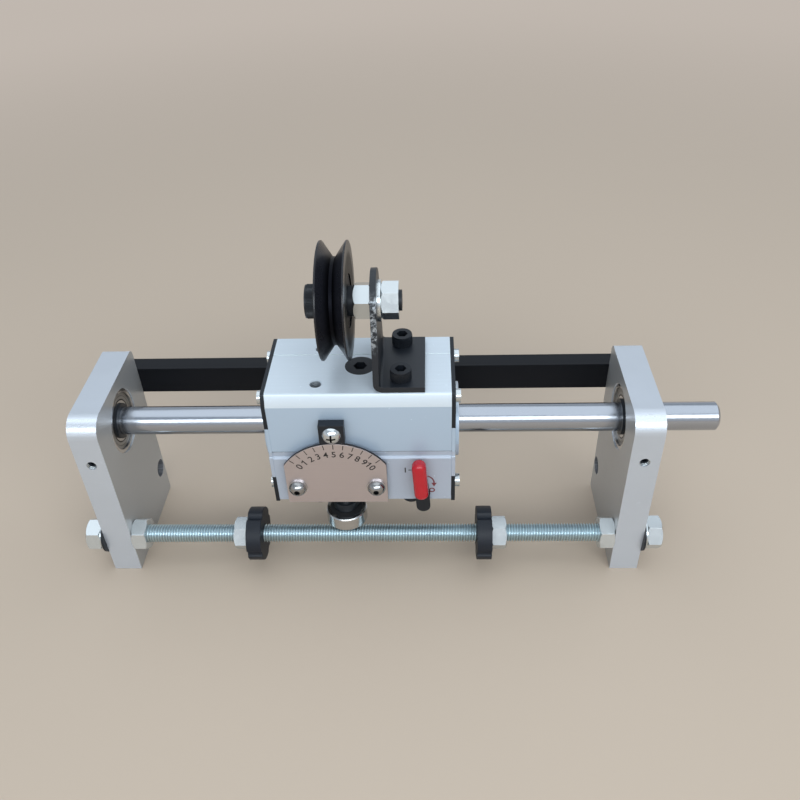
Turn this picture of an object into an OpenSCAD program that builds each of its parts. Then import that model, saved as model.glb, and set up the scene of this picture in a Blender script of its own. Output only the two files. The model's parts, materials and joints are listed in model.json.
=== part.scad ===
// Rolling-ring traverse unit: a carriage that walks along a turning polished shaft and lays cable
// evenly on a drum. Millimetres, +Z up, standing on its two side plates.

/* [Side plates] */
// Clear distance between the two side plates
span = 262; // [240:1:320]
// Thickness of each side plate
plate_t = 15; // [15:0.5:20]
// Depth of each side plate, front to back
plate_d = 66; // [62:1:80]
// Height of each side plate
plate_h = 105.5; // [103:0.5:120]
// Radius of the front top corner of a side plate
plate_r = 10; // [6:1:16]
// Radius of the rear top corner of a side plate
plate_back_r = 4; // [2:0.5:6]
// Diameter of the rod hole and of the spare hole
foot_hole_d = 10.5; // [10.4:0.1:12]

/* [Shaft and bearings] */
// Diameter of the polished shaft
shaft_d = 15; // [14.5:0.1:15.4]
// Height of the shaft axis above the floor
shaft_z = 81.4; // [80.4:0.2:83]
// Length of shaft standing out of the right plate
shaft_out = 35.7; // [20:0.1:60]
// Chamfer on the shaft ends
shaft_chamfer = 1.2; // [0.4:0.1:2]
// Outside diameter of the shaft bearings
bearing_od = 35; // [34:0.5:38]
// Width of the shaft bearings
bearing_w = 11; // [9:0.5:11.5]

/* [Guide bar] */
// Depth of the guide bar behind the plates
bar_d = 10; // [8:0.5:14]
// Height of the guide bar section
bar_h = 16; // [12:0.5:18]
// Height of the guide bar's centre line
bar_z = 83.4; // [82:0.2:85]

/* [Stop rod] */
// Diameter of the stop rod
rod_d = 10; // [9.4:0.1:10]
// Height of the stop rod
rod_z = 22; // [20:0.5:22]
// Distance of the stop rod in front of the shaft
rod_front = 26.5; // [24:0.5:27]
// Width across flats of the rod nuts
nut_af = 16; // [15:0.5:17]
// Height of the rod nuts
nut_h = 8; // [6:0.2:9]
// Diameter of the stop discs
stop_d = 29; // [27:0.5:34]
// Thickness of the stop discs
stop_w = 8; // [6:0.5:10]
// Inner face of the left stop disc, left of the frame's middle
stop_left = 58.5; // [57:0.5:66]
// Inner face of the right stop disc, right of the frame's middle
stop_right = 57.3; // [56:0.1:62]

/* [Carriage housing] */
// Length of the housing along the shaft, covers included
house_l = 95; // [92:1:98]
// Depth of the housing
house_d = 50; // [49:0.5:52]
// Top of the housing above the floor
house_top = 116; // [114:0.5:118]
// Underside of the housing above the floor
house_bottom = 46.3; // [45.5:0.1:47]
// Height where the two halves meet
split_z = 80; // [79:0.2:81]
// Position of the housing's middle along the shaft
house_x = -2; // [-3:0.5:0]
// Thickness of the end covers
cover_t = 2; // [1.5:0.1:2.4]

/* [Rolling rings] */
// Distance between neighbouring rings
ring_pitch = 24; // [22:0.5:25]
// Bore of the ring that rolls on the shaft
ring_bore = 17; // [16.8:0.1:17.4]
// Tilt of the rings at rest
ring_tilt = 6.75; // [4:0.25:6.75]

/* [Pitch dial] */
// Radius of the dial's arc
dial_r = 31; // [30:0.5:31.5]
// Thickness of the dial plate
dial_t = 1.5; // [1:0.1:2]
// Pointer angle at rest, positive towards the right
pointer_rest = 0; // [-45:0.5:45]

/* [Release lever] */
// Width of the release lever
lever_w = 7.3; // [6:0.1:8]
// Length of the red handle
lever_l = 24.3; // [20:0.1:25]

/* [Reversing lever] */
// Diameter of the reversing roller
roller_d = 22; // [19:0.5:22]
// Height of the reversing roller
roller_w = 8; // [5:0.5:8]
// Reach of the reversing lever from pivot to roller
reverse_reach = 30.1; // [29:0.1:31]
// Angle of the reversing lever at rest, towards the left
reverse_rest = 21.6; // [18:0.2:21.6]

/* [Cable pulley] */
// Outside diameter of the pulley
pulley_d = 57; // [50:0.5:60]
// Diameter at the bottom of the groove
groove_d = 42; // [38:0.5:44]
// Width of the pulley
pulley_w = 13.4; // [13:0.1:16]
// Height of the pulley axis above the housing
pulley_up = 38; // [36:0.5:48]
// Thickness of the pulley bracket
bracket_t = 3; // [2.5:0.1:4]

/* [Clearances] */
// Radial clearance of running fits
run_gap = 0.05; // [0.02:0.01:0.1]
// Gap between faces that pass each other
side_gap = 0.3; // [0.2:0.05:0.4]

/* [Hidden] */
$fn = 72;
e = 0.01;
plate_in = span / 2;
plate_out = plate_in + plate_t;
shaft_right = plate_out + shaft_out;
shaft_left = -plate_out + 0.5;
clip_depth = 0.6;
clip_t = 1;
lip_d = bearing_od - 5;
race_gap_d = shaft_d + 7;
race_step = 1.5;
shield_t = 2;
shaft_clip_t = 1.1;
shaft_clip_d = shaft_d - 0.7;
shaft_clip_od = shaft_d + 4;
grub_z = shaft_z - 2.4;
bar_front = plate_d / 2;
bar_back = bar_front + bar_d;
rod_y = -rod_front;
washer_t = 1;
spring_washer_t = 1.1;
rod_left = -plate_out - washer_t - spring_washer_t - nut_h - 0.4;
rod_right = -rod_left - 0.4;
house_l0 = house_x - house_l / 2;
house_l1 = house_x + house_l / 2;
body_l0 = house_l0 + cover_t;
body_l1 = house_l1 - cover_t;
house_y = house_d / 2;
front_step = 0.8;
low_front = -house_y - front_step;
band_h = 3;
band_sink = 0.4;
seam_h = 0.6;
seam_sink = 0.8;
band_top = 7;
band_lean = 2.2;
top_chamfer = 1;
house_wall = 3.5;
holder_gap = 1;
holder_wall = 3;
cavity_y = house_y - house_wall;
holder_d = 2 * (cavity_y - holder_gap);
holder_w = 12;
race_w = 10;
race_od = holder_d - 2 * holder_wall;
race_mid = (race_od + shaft_d) / 2;
ring_drop = (ring_bore - shaft_d) / 2 - 0.15;
cavity_bottom = shaft_z - ring_drop - holder_d / 2 - 0.65;
cavity_top = shaft_z + ring_drop + holder_d / 2 + 0.65;
trunnion_d = 8;
trunnion_l = 6;
thrust_d = 15.5;
plug_h = 7;
tap_d = 6;
tap_x = 21;
tap_y = 15;
cover_grip = 3;
cover_screw_y = 17;
cover_high_z = house_top - 6.3;
cover_low_z = house_bottom + 6.5;
bush_z0 = shaft_z - 17.8;
bush_z1 = shaft_z + 14.1;
base_screw_x = 24.5;
base_screw_y = 18;
base_screw_grip = 9;
dial_x = house_x - 13.5;
dial_z = house_bottom + 12.3;
dial_drop = 9.3;
dial_gap = 2.5;
dial_grip = 4;
dial_back = low_front - dial_gap;
dial_front = dial_back - dial_t;
dial_half = 26.1;
dial_screw_x = 20.4;
dial_screw_z = dial_z + 1.6;
dial_screw_d = 5;
dial_hole_d = dial_screw_d + 0.4;
dial_washer_d = 10;
dial_washer_t = 1;
dial_spacer_d = 9;
arm_t = 1.7;
arm_back = low_front - side_gap;
arm_front = arm_back - arm_t;
pointer_w = 12.6;
pointer_arm_w = 10;
pointer_hub_d = 12;
pointer_stem_d = 8;
pointer_stem_l = 3.5;
pointer_r0 = dial_r + 1;
pointer_r1 = dial_r + 12.8;
pointer_front = dial_front - 1.2;
release_x = house_x + 30.5;
release_z = house_bottom + 5.7;
release_lean = 3.3;
release_back = low_front - side_gap;
cam_t = 3;
cam_end = 11;
cam_top = 10;
handle_t = 7;
handle_start = 3.5;
reverse_x = house_x;
reverse_y = 8;
arm_z0 = house_bottom - 8.5;
reverse_t = 5;
reverse_w = 13;
roller_z1 = arm_z0 - 1.3;
roller_z0 = roller_z1 - roller_w;
pulley_z = house_top + pulley_up;
leg_x = house_x + 7.8;
pulley_bore = 26;
pulley_bw = 8;
pulley_nut_h = 8.3;
spacer_l = 2.9;
race_x1 = leg_x - pulley_nut_h - spacer_l;
race_x0 = race_x1 - pulley_bw;
pulley_x1 = race_x1 + 0.7;
rim_land = 0.8;
groove_flat = 1.6;
pulley_eye_d = 18;
pulley_race_d = 15;
pulley_bolt_d = 10;
pulley_head_d = 16;
pulley_x0 = pulley_x1 - pulley_w;
bolt_head_l = 12;
pulley_washer_t = 1.7;
bolt_tail = 1.5;
bolt_end = leg_x + bracket_t + pulley_washer_t + pulley_nut_h + bolt_tail;
bend_r = bracket_t + 1.5;
base_w = 24.9;
base_front = -22.5;
base_back = 21;
bracket_head_d = 10;
bracket_head_h = 6;
bracket_screw_in = 9;
bar_screw_d = 6;
bar_head_d = 12;
bar_head_h = 3;
bar_screw_in = 10;
wiper_rim = 12;
lever_boss_d = 22;
lever_pin_d = 10;
lever_head_d = 16;
shoe_gap = side_gap;
shoe_screw_x = 22;
shoe_l = 60;
shoe_lip = 6;
shoe_screw_d = 5;
shoe_screw_z = bar_z + bar_h / 2 + shoe_lip + 4.6;
trunnion_up = cavity_top + trunnion_l - 0.5 - shaft_z;
trunnion_down = shaft_z - cavity_bottom + trunnion_l - 0.5;
mid_x = (shaft_right + rod_left) / 2;
mid_y = (bar_back + rod_y - stop_d / 2) / 2;

alu = [0.74, 0.76, 0.78];
dark = [0.08, 0.08, 0.09];
steel = [0.78, 0.79, 0.8];
zinc = [0.75, 0.78, 0.77];
red = [0.75, 0.05, 0.05];

// Shared shapes
module place() {
    translate([-mid_x, -mid_y, 0])
        children();
}

module box(x0, x1, y0, y1, z0, z1) {
    translate([x0, y0, z0])
        cube([x1 - x0, y1 - y0, z1 - z0]);
}

module along_x(x0, y, z) {
    translate([x0, y, z])
        rotate([90, 0, 90])
            children();
}

module xcyl(d, x0, x1, y, z) {
    along_x(x0, y, z)
        cylinder(d = d, h = x1 - x0);
}

module ycyl(d, x, y0, y1, z) {
    translate([x, y1, z])
        rotate([90, 0, 0])
            cylinder(d = d, h = y1 - y0);
}

module zcyl(d, x, y, z0, z1) {
    translate([x, y, z0])
        cylinder(d = d, h = z1 - z0);
}

module xtube(d, bore, x0, x1, y, z) {
    difference() {
        xcyl(d, x0, x1, y, z);
        xcyl(bore, x0 - 1, x1 + 1, y, z);
    }
}

module hex_prism(af, h) {
    cylinder(d = af / cos(30), h = h, $fn = 6);
}

module xnut(af, bore, x0, h, y, z, turn = 0) {
    difference() {
        intersection() {
            along_x(x0, y, z)
                rotate(turn)
                    hex_prism(af, h);
            along_x(x0, y, z)
                rotate_extrude()
                    polygon([[0, 0], [af * 0.5, 0], [af * 0.6, af * 0.07], [af * 0.6, h - af * 0.07],
                        [af * 0.5, h], [0, h]]);
        }
        xcyl(bore, x0 - 1, x0 + h + 1, y, z);
    }
}

module socket_screw(d, head_d, head_h, key, l) {
    difference() {
        union() {
            cylinder(d = head_d, h = head_h);
            translate([0, 0, -l])
                cylinder(d = d, h = l + e);
        }
        translate([0, 0, head_h * 0.45])
            hex_prism(key, head_h);
    }
}

module dome(d, h) {
    r = (d * d / 4 + h * h) / (2 * h);
    rotate_extrude()
        intersection() {
            translate([0, h - r])
                circle(r = r);
            square([d / 2, h]);
        }
}

module mirror_x() {
    children();
    mirror([1, 0, 0])
        children();
}

// Side plates
module plate_outline() {
    square([plate_d, plate_h - plate_r]);
    translate([plate_r, 0])
        square([plate_d - plate_r - plate_back_r, plate_h]);
    translate([plate_r, 0])
        square([plate_d - plate_r, plate_h - plate_back_r]);
    translate([plate_r, plate_h - plate_r])
        circle(r = plate_r);
    translate([plate_d - plate_back_r, plate_h - plate_back_r])
        circle(r = plate_back_r);
}

module side_plate() {
    difference() {
        along_x(plate_in, -plate_d / 2, 0)
            linear_extrude(plate_t)
                plate_outline();
        xcyl(bearing_od, plate_in - 1, plate_in + clip_depth + clip_t + bearing_w, 0, shaft_z);
        xcyl(lip_d, plate_in - 1, plate_out + 1, 0, shaft_z);
        xcyl(bearing_od + 2, plate_in + clip_depth, plate_in + clip_depth + clip_t, 0, shaft_z);
        for (y = [rod_y, -rod_y])
            xcyl(foot_hole_d, plate_in - 1, plate_out + 1, y, rod_z);
        ycyl(5.2, (plate_in + plate_out) / 2, -plate_d / 2 - 1, -bearing_od / 4, grub_z);
        ycyl(6, (plate_in + plate_out) / 2, plate_d / 2 - 11, plate_d / 2 + 1, bar_z);
    }
}

module left_side_plate() {
    color(alu)
        mirror([1, 0, 0])
            side_plate();
}

module right_side_plate() {
    color(alu)
        side_plate();
}

// Guide bar behind the plates
module guide_bar() {
    color(dark)
        difference() {
            box(-plate_out, plate_out, bar_front, bar_back, bar_z - bar_h / 2, bar_z + bar_h / 2);
            mirror_x()
                translate([(plate_in + plate_out) / 2, 0, bar_z])
                    rotate([-90, 0, 0]) {
                        translate([0, 0, bar_front - 1])
                            cylinder(d = bar_screw_d * 1.1, h = bar_d + 2);
                        translate([0, 0, bar_back - bar_head_h])
                            cylinder(d1 = bar_screw_d, d2 = bar_head_d, h = bar_head_h);
                    }
        }
}

module guide_bar_screws() {
    color(dark)
        mirror_x()
            translate([(plate_in + plate_out) / 2, 0, bar_z])
                rotate([-90, 0, 0])
                    difference() {
                        union() {
                            translate([0, 0, bar_front - bar_screw_in])
                                cylinder(d = bar_screw_d, h = bar_d + bar_screw_in - 2);
                            translate([0, 0, bar_back - bar_head_h])
                                cylinder(d1 = bar_screw_d, d2 = bar_head_d, h = bar_head_h);
                        }
                        translate([0, 0, bar_back - 2.4])
                            hex_prism(4, 4);
                    }
}

// Stop rod with its nuts and washers
module stop_rod() {
    color(zinc)
        along_x(rod_left, rod_y, rod_z)
            rotate_extrude()
                polygon([[0, 0], [rod_d / 2 - 1, 0], [rod_d / 2, 1], [rod_d / 2, rod_right - rod_left - 1],
                    [rod_d / 2 - 1, rod_right - rod_left], [0, rod_right - rod_left]]);
}

module rod_nuts() {
    color(zinc)
        for (side = [0, 1])
            mirror([side, 0, 0]) {
                xnut(nut_af, rod_d, plate_in - nut_h, nut_h, rod_y, rod_z, 19);
                xnut(nut_af, rod_d, plate_out + washer_t + spring_washer_t, nut_h, rod_y, rod_z,
                    19 * side);
            }
}

module rod_washers() {
    color(zinc)
        mirror_x()
            xtube(rod_d * 2, rod_d + 0.5, plate_out, plate_out + washer_t, rod_y, rod_z);
}

module rod_spring_washers() {
    color(zinc)
        mirror_x()
            difference() {
                xtube(rod_d * 1.75, rod_d + 0.2, plate_out + washer_t,
                    plate_out + washer_t + spring_washer_t, rod_y, rod_z);
                translate([plate_out + washer_t, rod_y, rod_z])
                    rotate([0, 0, 25])
                        translate([-3, -0.6, 0])
                            cube([9, 1.2, rod_d * 2]);
            }
}

// Shaft bearings and their rings
module bearing_ring() {
    mirror_x()
        along_x(plate_in + clip_depth + clip_t, 0, shaft_z)
            rotate_extrude()
                children();
}

module bearing_outer_rings() {
    g = race_gap_d / 2 + side_gap;
    t = shield_t - side_gap;
    w = bearing_w;
    color(steel)
        bearing_ring()
            polygon([[g, 0], [bearing_od / 2, 0], [bearing_od / 2, w], [g, w], [g, w - t],
                [g + race_step, w - t], [g + race_step, t], [g, t]]);
}

module bearing_inner_rings() {
    g = race_gap_d / 2;
    t = shield_t;
    w = bearing_w;
    color(steel)
        bearing_ring()
            polygon([[shaft_d / 2, 0], [g, 0], [g, t], [g + race_step, t], [g + race_step, w - t],
                [g, w - t], [g, w], [shaft_d / 2, w]]);
}

module bearing_circlips() {
    color(steel)
        mirror_x()
            difference() {
                xtube(bearing_od + 2, bearing_od - 4, plate_in + clip_depth,
                    plate_in + clip_depth + clip_t, 0, shaft_z);
                box(plate_in, plate_in + clip_depth + clip_t + 1, -4, 4, shaft_z, shaft_z + bearing_od);
            }
}

module bearing_grub_screws() {
    color(dark)
        mirror_x()
            translate([(plate_in + plate_out) / 2, -plate_d / 2 + 2, grub_z])
                rotate([-90, 0, 0])
                    difference() {
                        cylinder(d = 5.2, h = (plate_d - bearing_od) / 2 - 2);
                        translate([0, 0, -1])
                            hex_prism(2.5, 4);
                    }
}

module shaft_circlips() {
    color(dark)
        mirror_x()
            difference() {
                xtube(shaft_clip_od, shaft_clip_d, plate_in + clip_depth + clip_t - shaft_clip_t,
                    plate_in + clip_depth + clip_t, 0, shaft_z);
                box(plate_in, plate_in + clip_depth + clip_t + 1, -2, 2, shaft_z - shaft_d, shaft_z - 3);
            }
}

// Polished drive shaft
module drive_shaft() {
    l = shaft_right - shaft_left;
    r = shaft_d / 2;
    color(steel)
        difference() {
            along_x(shaft_left, 0, shaft_z)
                rotate_extrude()
                    polygon([[0, 0], [r - shaft_chamfer, 0], [r, shaft_chamfer], [r, l - shaft_chamfer],
                        [r - shaft_chamfer, l], [0, l]]);
            mirror_x()
                xtube(shaft_d + 2, shaft_clip_d, plate_in + clip_depth + clip_t - shaft_clip_t,
                    plate_in + clip_depth + clip_t, 0, shaft_z);
            xtube(shaft_d + 2, shaft_d - 0.4, plate_out + 0.3, plate_out + 1.3, 0, shaft_z);
        }
}

// Carriage housing halves
module cover_screw_holes(z) {
    both_ends()
        for (y = [-cover_screw_y, cover_screw_y])
            xcyl(4, body_l1 - cover_grip, body_l1 + 1, y, z);
}

module upper_profile() {
    c = top_chamfer;
    polygon([[-house_y, split_z], [house_y, split_z], [house_y, house_top],
        [-house_y + band_lean + c, house_top],
        [-house_y + band_lean * (1 - c / band_top), house_top - c],
        [-house_y, house_top - band_top]]);
}

module upper_section() {
    difference() {
        upper_profile();
        translate([-cavity_y, split_z - 1])
            square([2 * cavity_y, cavity_top - split_z + 1]);
        translate([-house_y - 1, split_z - e])
            square([1 + seam_sink, seam_h]);
        translate([9.7, house_top - 0.4])
            square([0.6, 1]);
    }
}

module upper_housing() {
    color(alu)
        difference() {
            along_x(body_l0, 0, 0)
                linear_extrude(body_l1 - body_l0)
                    upper_section();
            zcyl(thrust_d, house_x, 0, cavity_top - 1, house_top + 1);
            for (dx = [-ring_pitch, ring_pitch])
                zcyl(trunnion_d + 2 * run_gap, house_x + dx, 0, cavity_top - 1, cavity_top + trunnion_l);
            for (dx = [-tap_x, tap_x], y = [-tap_y, tap_y])
                zcyl(tap_d, house_x + dx, y, house_top - 10, house_top + 1);
            for (dx = [-shoe_screw_x, shoe_screw_x])
                ycyl(shoe_screw_d, house_x + dx, cavity_y - 1, house_y + 1, shoe_screw_z);
            cover_screw_holes(cover_high_z);
        }
}

module lower_section() {
    difference() {
        translate([low_front, house_bottom])
            square([house_y - low_front, split_z - house_bottom]);
        translate([-cavity_y, cavity_bottom])
            square([2 * cavity_y, split_z]);
        translate([low_front - 1, split_z - band_h])
            square([1 + front_step + band_sink, band_h + 1]);
        translate([low_front, split_z - band_h])
            rotate(45)
                square([1.2, 1.2], center = true);
        translate([low_front, house_bottom])
            rotate(45)
                square([1.6, 1.6], center = true);
    }
}

module lower_housing() {
    color(alu)
        difference() {
            along_x(body_l0, 0, 0)
                linear_extrude(body_l1 - body_l0)
                    lower_section();
            for (dx = [-ring_pitch, 0, ring_pitch])
                zcyl(trunnion_d + 2 * run_gap, house_x + dx, 0, cavity_bottom - trunnion_l,
                    cavity_bottom + 1);
            for (dx = [-base_screw_x, base_screw_x], y = [-base_screw_y, base_screw_y])
                zcyl(6, house_x + dx, y, house_bottom - 1, house_bottom + base_screw_grip);
            zcyl(10, reverse_x, reverse_y, house_bottom - 1, house_bottom + 6);
            for (dx = [-dial_screw_x, dial_screw_x])
                ycyl(dial_screw_d, dial_x + dx, low_front - 1, low_front + dial_grip, dial_screw_z);
            ycyl(pointer_stem_d + 2 * run_gap, dial_x, low_front - 1, low_front + pointer_stem_l + 0.5,
                dial_z);
            ycyl(7 + 2 * run_gap, release_x, low_front - 1, low_front + 5, release_z);
            cover_screw_holes(cover_low_z);
        }
}

// Closing plates at the housing ends
module both_ends() {
    children();
    translate([2 * house_x, 0, 0])
        mirror([1, 0, 0])
            children();
}

module end_covers() {
    color(dark)
        both_ends() {
            difference() {
                along_x(body_l1, 0, 0)
                    linear_extrude(cover_t)
                        intersection() {
                            upper_profile();
                            translate([-house_y - 1, bush_z1])
                                square([2 * house_y + 2, house_top - bush_z1 + 1]);
                        }
                for (y = [-cover_screw_y, cover_screw_y])
                    xcyl(4, body_l1 - 1, house_l1 + 1, y, cover_high_z);
            }
            difference() {
                box(body_l1, house_l1, low_front, house_y, house_bottom, bush_z0);
                for (y = [-cover_screw_y, cover_screw_y])
                    xcyl(4, body_l1 - 1, house_l1 + 1, y, cover_low_z);
            }
        }
}

module bush_plates() {
    color(alu)
        both_ends()
            difference() {
                union() {
                    box(body_l1, house_l1, -house_y, house_y, bush_z0, bush_z1);
                    box(body_l1, house_l1, low_front, 0, bush_z0, split_z - band_h);
                }
                xcyl(shaft_d + 2 * run_gap, body_l1 - 1, house_l1 + 1, 0, shaft_z);
            }
}

module wiper_rings() {
    color(alu)
        both_ends()
            xtube(shaft_d + 2 * wiper_rim, shaft_d + 2 * run_gap, house_l1, house_l1 + 2, 0, shaft_z);
}

module cover_screws() {
    color(steel)
        both_ends()
            for (y = [-cover_screw_y, cover_screw_y], z = [cover_low_z, cover_high_z])
                translate([house_l1, y, z])
                    rotate([0, 90, 0])
                        socket_screw(4, 7, 2.6, 2.5, cover_t + cover_grip);
}

module base_screws() {
    color(dark)
        for (dx = [-base_screw_x, base_screw_x], y = [-base_screw_y, base_screw_y])
            translate([house_x + dx, y, house_bottom])
                rotate([180, 0, 0])
                    socket_screw(6, 10, 4, 5, base_screw_grip);
}

// Pitch dial and its fixings
module dial_plate() {
    color(steel)
        difference() {
            translate([dial_x, dial_back, dial_z])
                rotate([90, 0, 0])
                    linear_extrude(dial_t)
                        intersection() {
                            circle(r = dial_r);
                            translate([-dial_half, -dial_drop])
                                square([2 * dial_half, dial_r + dial_drop + 1]);
                        }
            for (dx = [-dial_screw_x, dial_screw_x])
                ycyl(dial_hole_d, dial_x + dx, dial_front - 1, dial_back + 1, dial_screw_z);
        }
}

module dial_spacers() {
    color(steel)
        for (dx = [-dial_screw_x, dial_screw_x])
            difference() {
                ycyl(dial_spacer_d, dial_x + dx, dial_back, low_front, dial_screw_z);
                ycyl(dial_hole_d, dial_x + dx, dial_back - 1, low_front + 1, dial_screw_z);
            }
}

module dial_washers() {
    color(zinc)
        for (dx = [-dial_screw_x, dial_screw_x])
            difference() {
                ycyl(dial_washer_d, dial_x + dx, dial_front - dial_washer_t, dial_front, dial_screw_z);
                ycyl(dial_hole_d, dial_x + dx, dial_front - 2, dial_front + 1, dial_screw_z);
            }
}

module dial_screws() {
    l = dial_washer_t + dial_t + dial_gap + dial_grip;
    color(zinc)
        for (dx = [-dial_screw_x, dial_screw_x])
            translate([dial_x + dx, dial_front - dial_washer_t, dial_screw_z])
                rotate([90, 0, 0])
                    difference() {
                        union() {
                            dome(dial_washer_d - 0.8, 3.6);
                            translate([0, 0, -l])
                                cylinder(d = dial_screw_d, h = l + e);
                        }
                        translate([0, 0, 2.2])
                            hex_prism(2.5, 3);
                    }
}

// Thrust adjuster in the top of the housing
module thrust_adjuster() {
    color(dark)
        difference() {
            zcyl(thrust_d, house_x, 0, house_top - plug_h, house_top);
            translate([house_x, 0, house_top - 4])
                hex_prism(6, 5);
        }
}

module thrust_spring() {
    color(steel)
        difference() {
            zcyl(thrust_d - 1, house_x, 0, cavity_top, house_top - plug_h);
            zcyl(trunnion_d + 2 * run_gap, house_x, 0, cavity_top - 1, house_top);
        }
}

// Guide shoe that rides on the bar
module guide_shoe() {
    color(dark)
        difference() {
            union() {
                box(house_x - shoe_l / 2, house_x + shoe_l / 2, house_y, bar_back - 1,
                    bar_z - bar_h / 2 - shoe_lip, bar_z + bar_h / 2 + shoe_lip);
                box(house_x - shoe_l / 2, house_x + shoe_l / 2, house_y, house_y + shoe_lip,
                    bar_z + bar_h / 2 + shoe_lip - e, shoe_screw_z + shoe_screw_d);
            }
            box(house_x - shoe_l / 2 - 1, house_x + shoe_l / 2 + 1, bar_front - shoe_gap, bar_back + 1,
                bar_z - bar_h / 2 - shoe_gap, bar_z + bar_h / 2 + shoe_gap);
            for (dx = [-shoe_screw_x, shoe_screw_x])
                ycyl(shoe_screw_d + 0.4, house_x + dx, house_y - 1, house_y + shoe_lip + 1, shoe_screw_z);
        }
}

module guide_shoe_screws() {
    color(dark)
        for (dx = [-shoe_screw_x, shoe_screw_x])
            translate([house_x + dx, house_y + shoe_lip, shoe_screw_z])
                rotate([-90, 0, 0])
                    socket_screw(shoe_screw_d, shoe_screw_d * 1.7, shoe_screw_d, shoe_screw_d * 0.8,
                        shoe_lip + house_wall);
}

// Pulley bracket and its screws
module leg_outline() {
    r = 15.5;
    a = base_front;
    b = base_back;
    polygon([[a, house_top], [b, house_top], [b, house_top + bend_r], [r, pulley_z], [-r, pulley_z],
        [a, house_top + bend_r]]);
    translate([0, pulley_z])
        circle(r = r);
}

module pulley_bracket() {
    color(dark)
        difference() {
            union() {
                box(leg_x, leg_x + base_w, base_front, base_back, house_top, house_top + bracket_t);
                along_x(leg_x, 0, 0)
                    linear_extrude(bracket_t)
                        leg_outline();
                difference() {
                    box(leg_x + 1, leg_x + bend_r, base_front, base_back, house_top + 1,
                        house_top + bend_r);
                    ycyl(2 * (bend_r - bracket_t), leg_x + bend_r, base_front - 1, base_back + 1,
                        house_top + bend_r);
                }
            }
            for (y = [-tap_y, tap_y])
                zcyl(6.6, house_x + tap_x, y, house_top - 1, house_top + bracket_t + 1);
            xcyl(10.5, leg_x - 1, leg_x + bracket_t + 1, 0, pulley_z);
            difference() {
                box(leg_x - 1, leg_x + bend_r, base_front - 1, base_back + 1, house_top - 1,
                    house_top + bend_r);
                ycyl(2 * bend_r, leg_x + bend_r, base_front - 2, base_back + 2, house_top + bend_r);
            }
        }
}

module bracket_screws() {
    color(dark)
        for (y = [-tap_y, tap_y])
            translate([house_x + tap_x, y, house_top + bracket_t])
                socket_screw(tap_d, bracket_head_d, bracket_head_h, bracket_head_d / 2,
                    bracket_t + bracket_screw_in);
}

// Cable pulley on its bolt
module pulley() {
    r = pulley_d / 2;
    g = groove_d / 2;
    w = pulley_w;
    m = w / 2;
    eye = pulley_eye_d / 2;
    flat = groove_flat / 2;
    color(dark)
        difference() {
            along_x(pulley_x0, 0, pulley_z)
                rotate_extrude()
                    polygon([[eye, 0], [r, 0], [r, rim_land], [g, m - flat], [g, m + flat],
                        [r, w - rim_land], [r, w], [eye, w]]);
            xcyl(pulley_bore, race_x0, pulley_x1 + 1, 0, pulley_z);
        }
}

module pulley_bearing_outer() {
    color(steel)
        xtube(pulley_bore, pulley_race_d + 2 * side_gap, race_x0, race_x1, 0, pulley_z);
}

module pulley_bearing_inner() {
    color(steel)
        xtube(pulley_race_d, pulley_bolt_d, race_x0, race_x1, 0, pulley_z);
}

module pulley_bolt() {
    color(dark)
        translate([race_x0, 0, pulley_z])
            rotate([0, -90, 0])
                socket_screw(pulley_bolt_d, pulley_head_d, bolt_head_l, pulley_head_d / 2,
                    bolt_end - race_x0);
}

module pulley_washers() {
    color(zinc) {
        xtube(pulley_race_d - 0.5, pulley_bolt_d, race_x1, race_x1 + spacer_l, 0, pulley_z);
        xtube(2 * pulley_bolt_d, pulley_bolt_d + 0.5, leg_x + bracket_t,
            leg_x + bracket_t + pulley_washer_t, 0, pulley_z);
    }
}

module pulley_nuts() {
    color(zinc) {
        xnut(nut_af, pulley_bolt_d, race_x1 + spacer_l, pulley_nut_h, 0, pulley_z, 38);
        xnut(nut_af, pulley_bolt_d, leg_x + bracket_t + pulley_washer_t, pulley_nut_h, 0, pulley_z, 8);
    }
}

// Pitch pointer
module at_pointer() {
    translate([dial_x, 0, dial_z])
        rotate([0, pointer_rest, 0])
            children();
}

module pitch_pointer() {
    color(dark)
        at_pointer()
            difference() {
                union() {
                    ycyl(pointer_hub_d, 0, arm_front, arm_back, 0);
                    ycyl(pointer_stem_d, 0, arm_back - e, low_front + pointer_stem_l, 0);
                    box(-pointer_arm_w / 2, pointer_arm_w / 2, arm_front, arm_back, 0, pointer_r0 + 1);
                    box(-pointer_w / 2, pointer_w / 2, pointer_front, arm_back, pointer_r0, pointer_r1);
                }
                ycyl(4, 0, pointer_front - 1, pointer_front + 4, pointer_r0 + 5.5);
            }
}

module pointer_screw() {
    color(zinc)
        at_pointer()
            translate([0, pointer_front, pointer_r0 + 5.5])
                rotate([90, 0, 0])
                    difference() {
                        union() {
                            dome(9.6, 3);
                            translate([0, 0, -4])
                                cylinder(d = 4, h = 4 + e);
                        }
                        for (a = [0, 90])
                            rotate(a)
                                translate([-2.2, -0.45, 1.5])
                                    cube([4.4, 0.9, 2]);
                    }
}

// Release lever
module at_release() {
    translate([release_x, 0, release_z])
        rotate([0, -release_lean, 0])
            children();
}

module bar_shape(w, a, b) {
    translate([-w / 2, a + w / 2])
        square([w, b - a - w]);
    for (z = [a + w / 2, b - w / 2])
        translate([0, z])
            circle(d = w);
}

module release_cam() {
    color(dark)
        at_release() {
            translate([0, release_back, 0])
                rotate([90, 0, 0])
                    linear_extrude(cam_t)
                        bar_shape(lever_w, -cam_end, cam_top);
            ycyl(7, 0, release_back - e, low_front + 4.5, 0);
        }
}

module release_handle() {
    color(red)
        at_release()
            translate([0, release_back - cam_t, 0])
                rotate([90, 0, 0])
                    linear_extrude(handle_t)
                        bar_shape(lever_w, handle_start, handle_start + lever_l);
}

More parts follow.
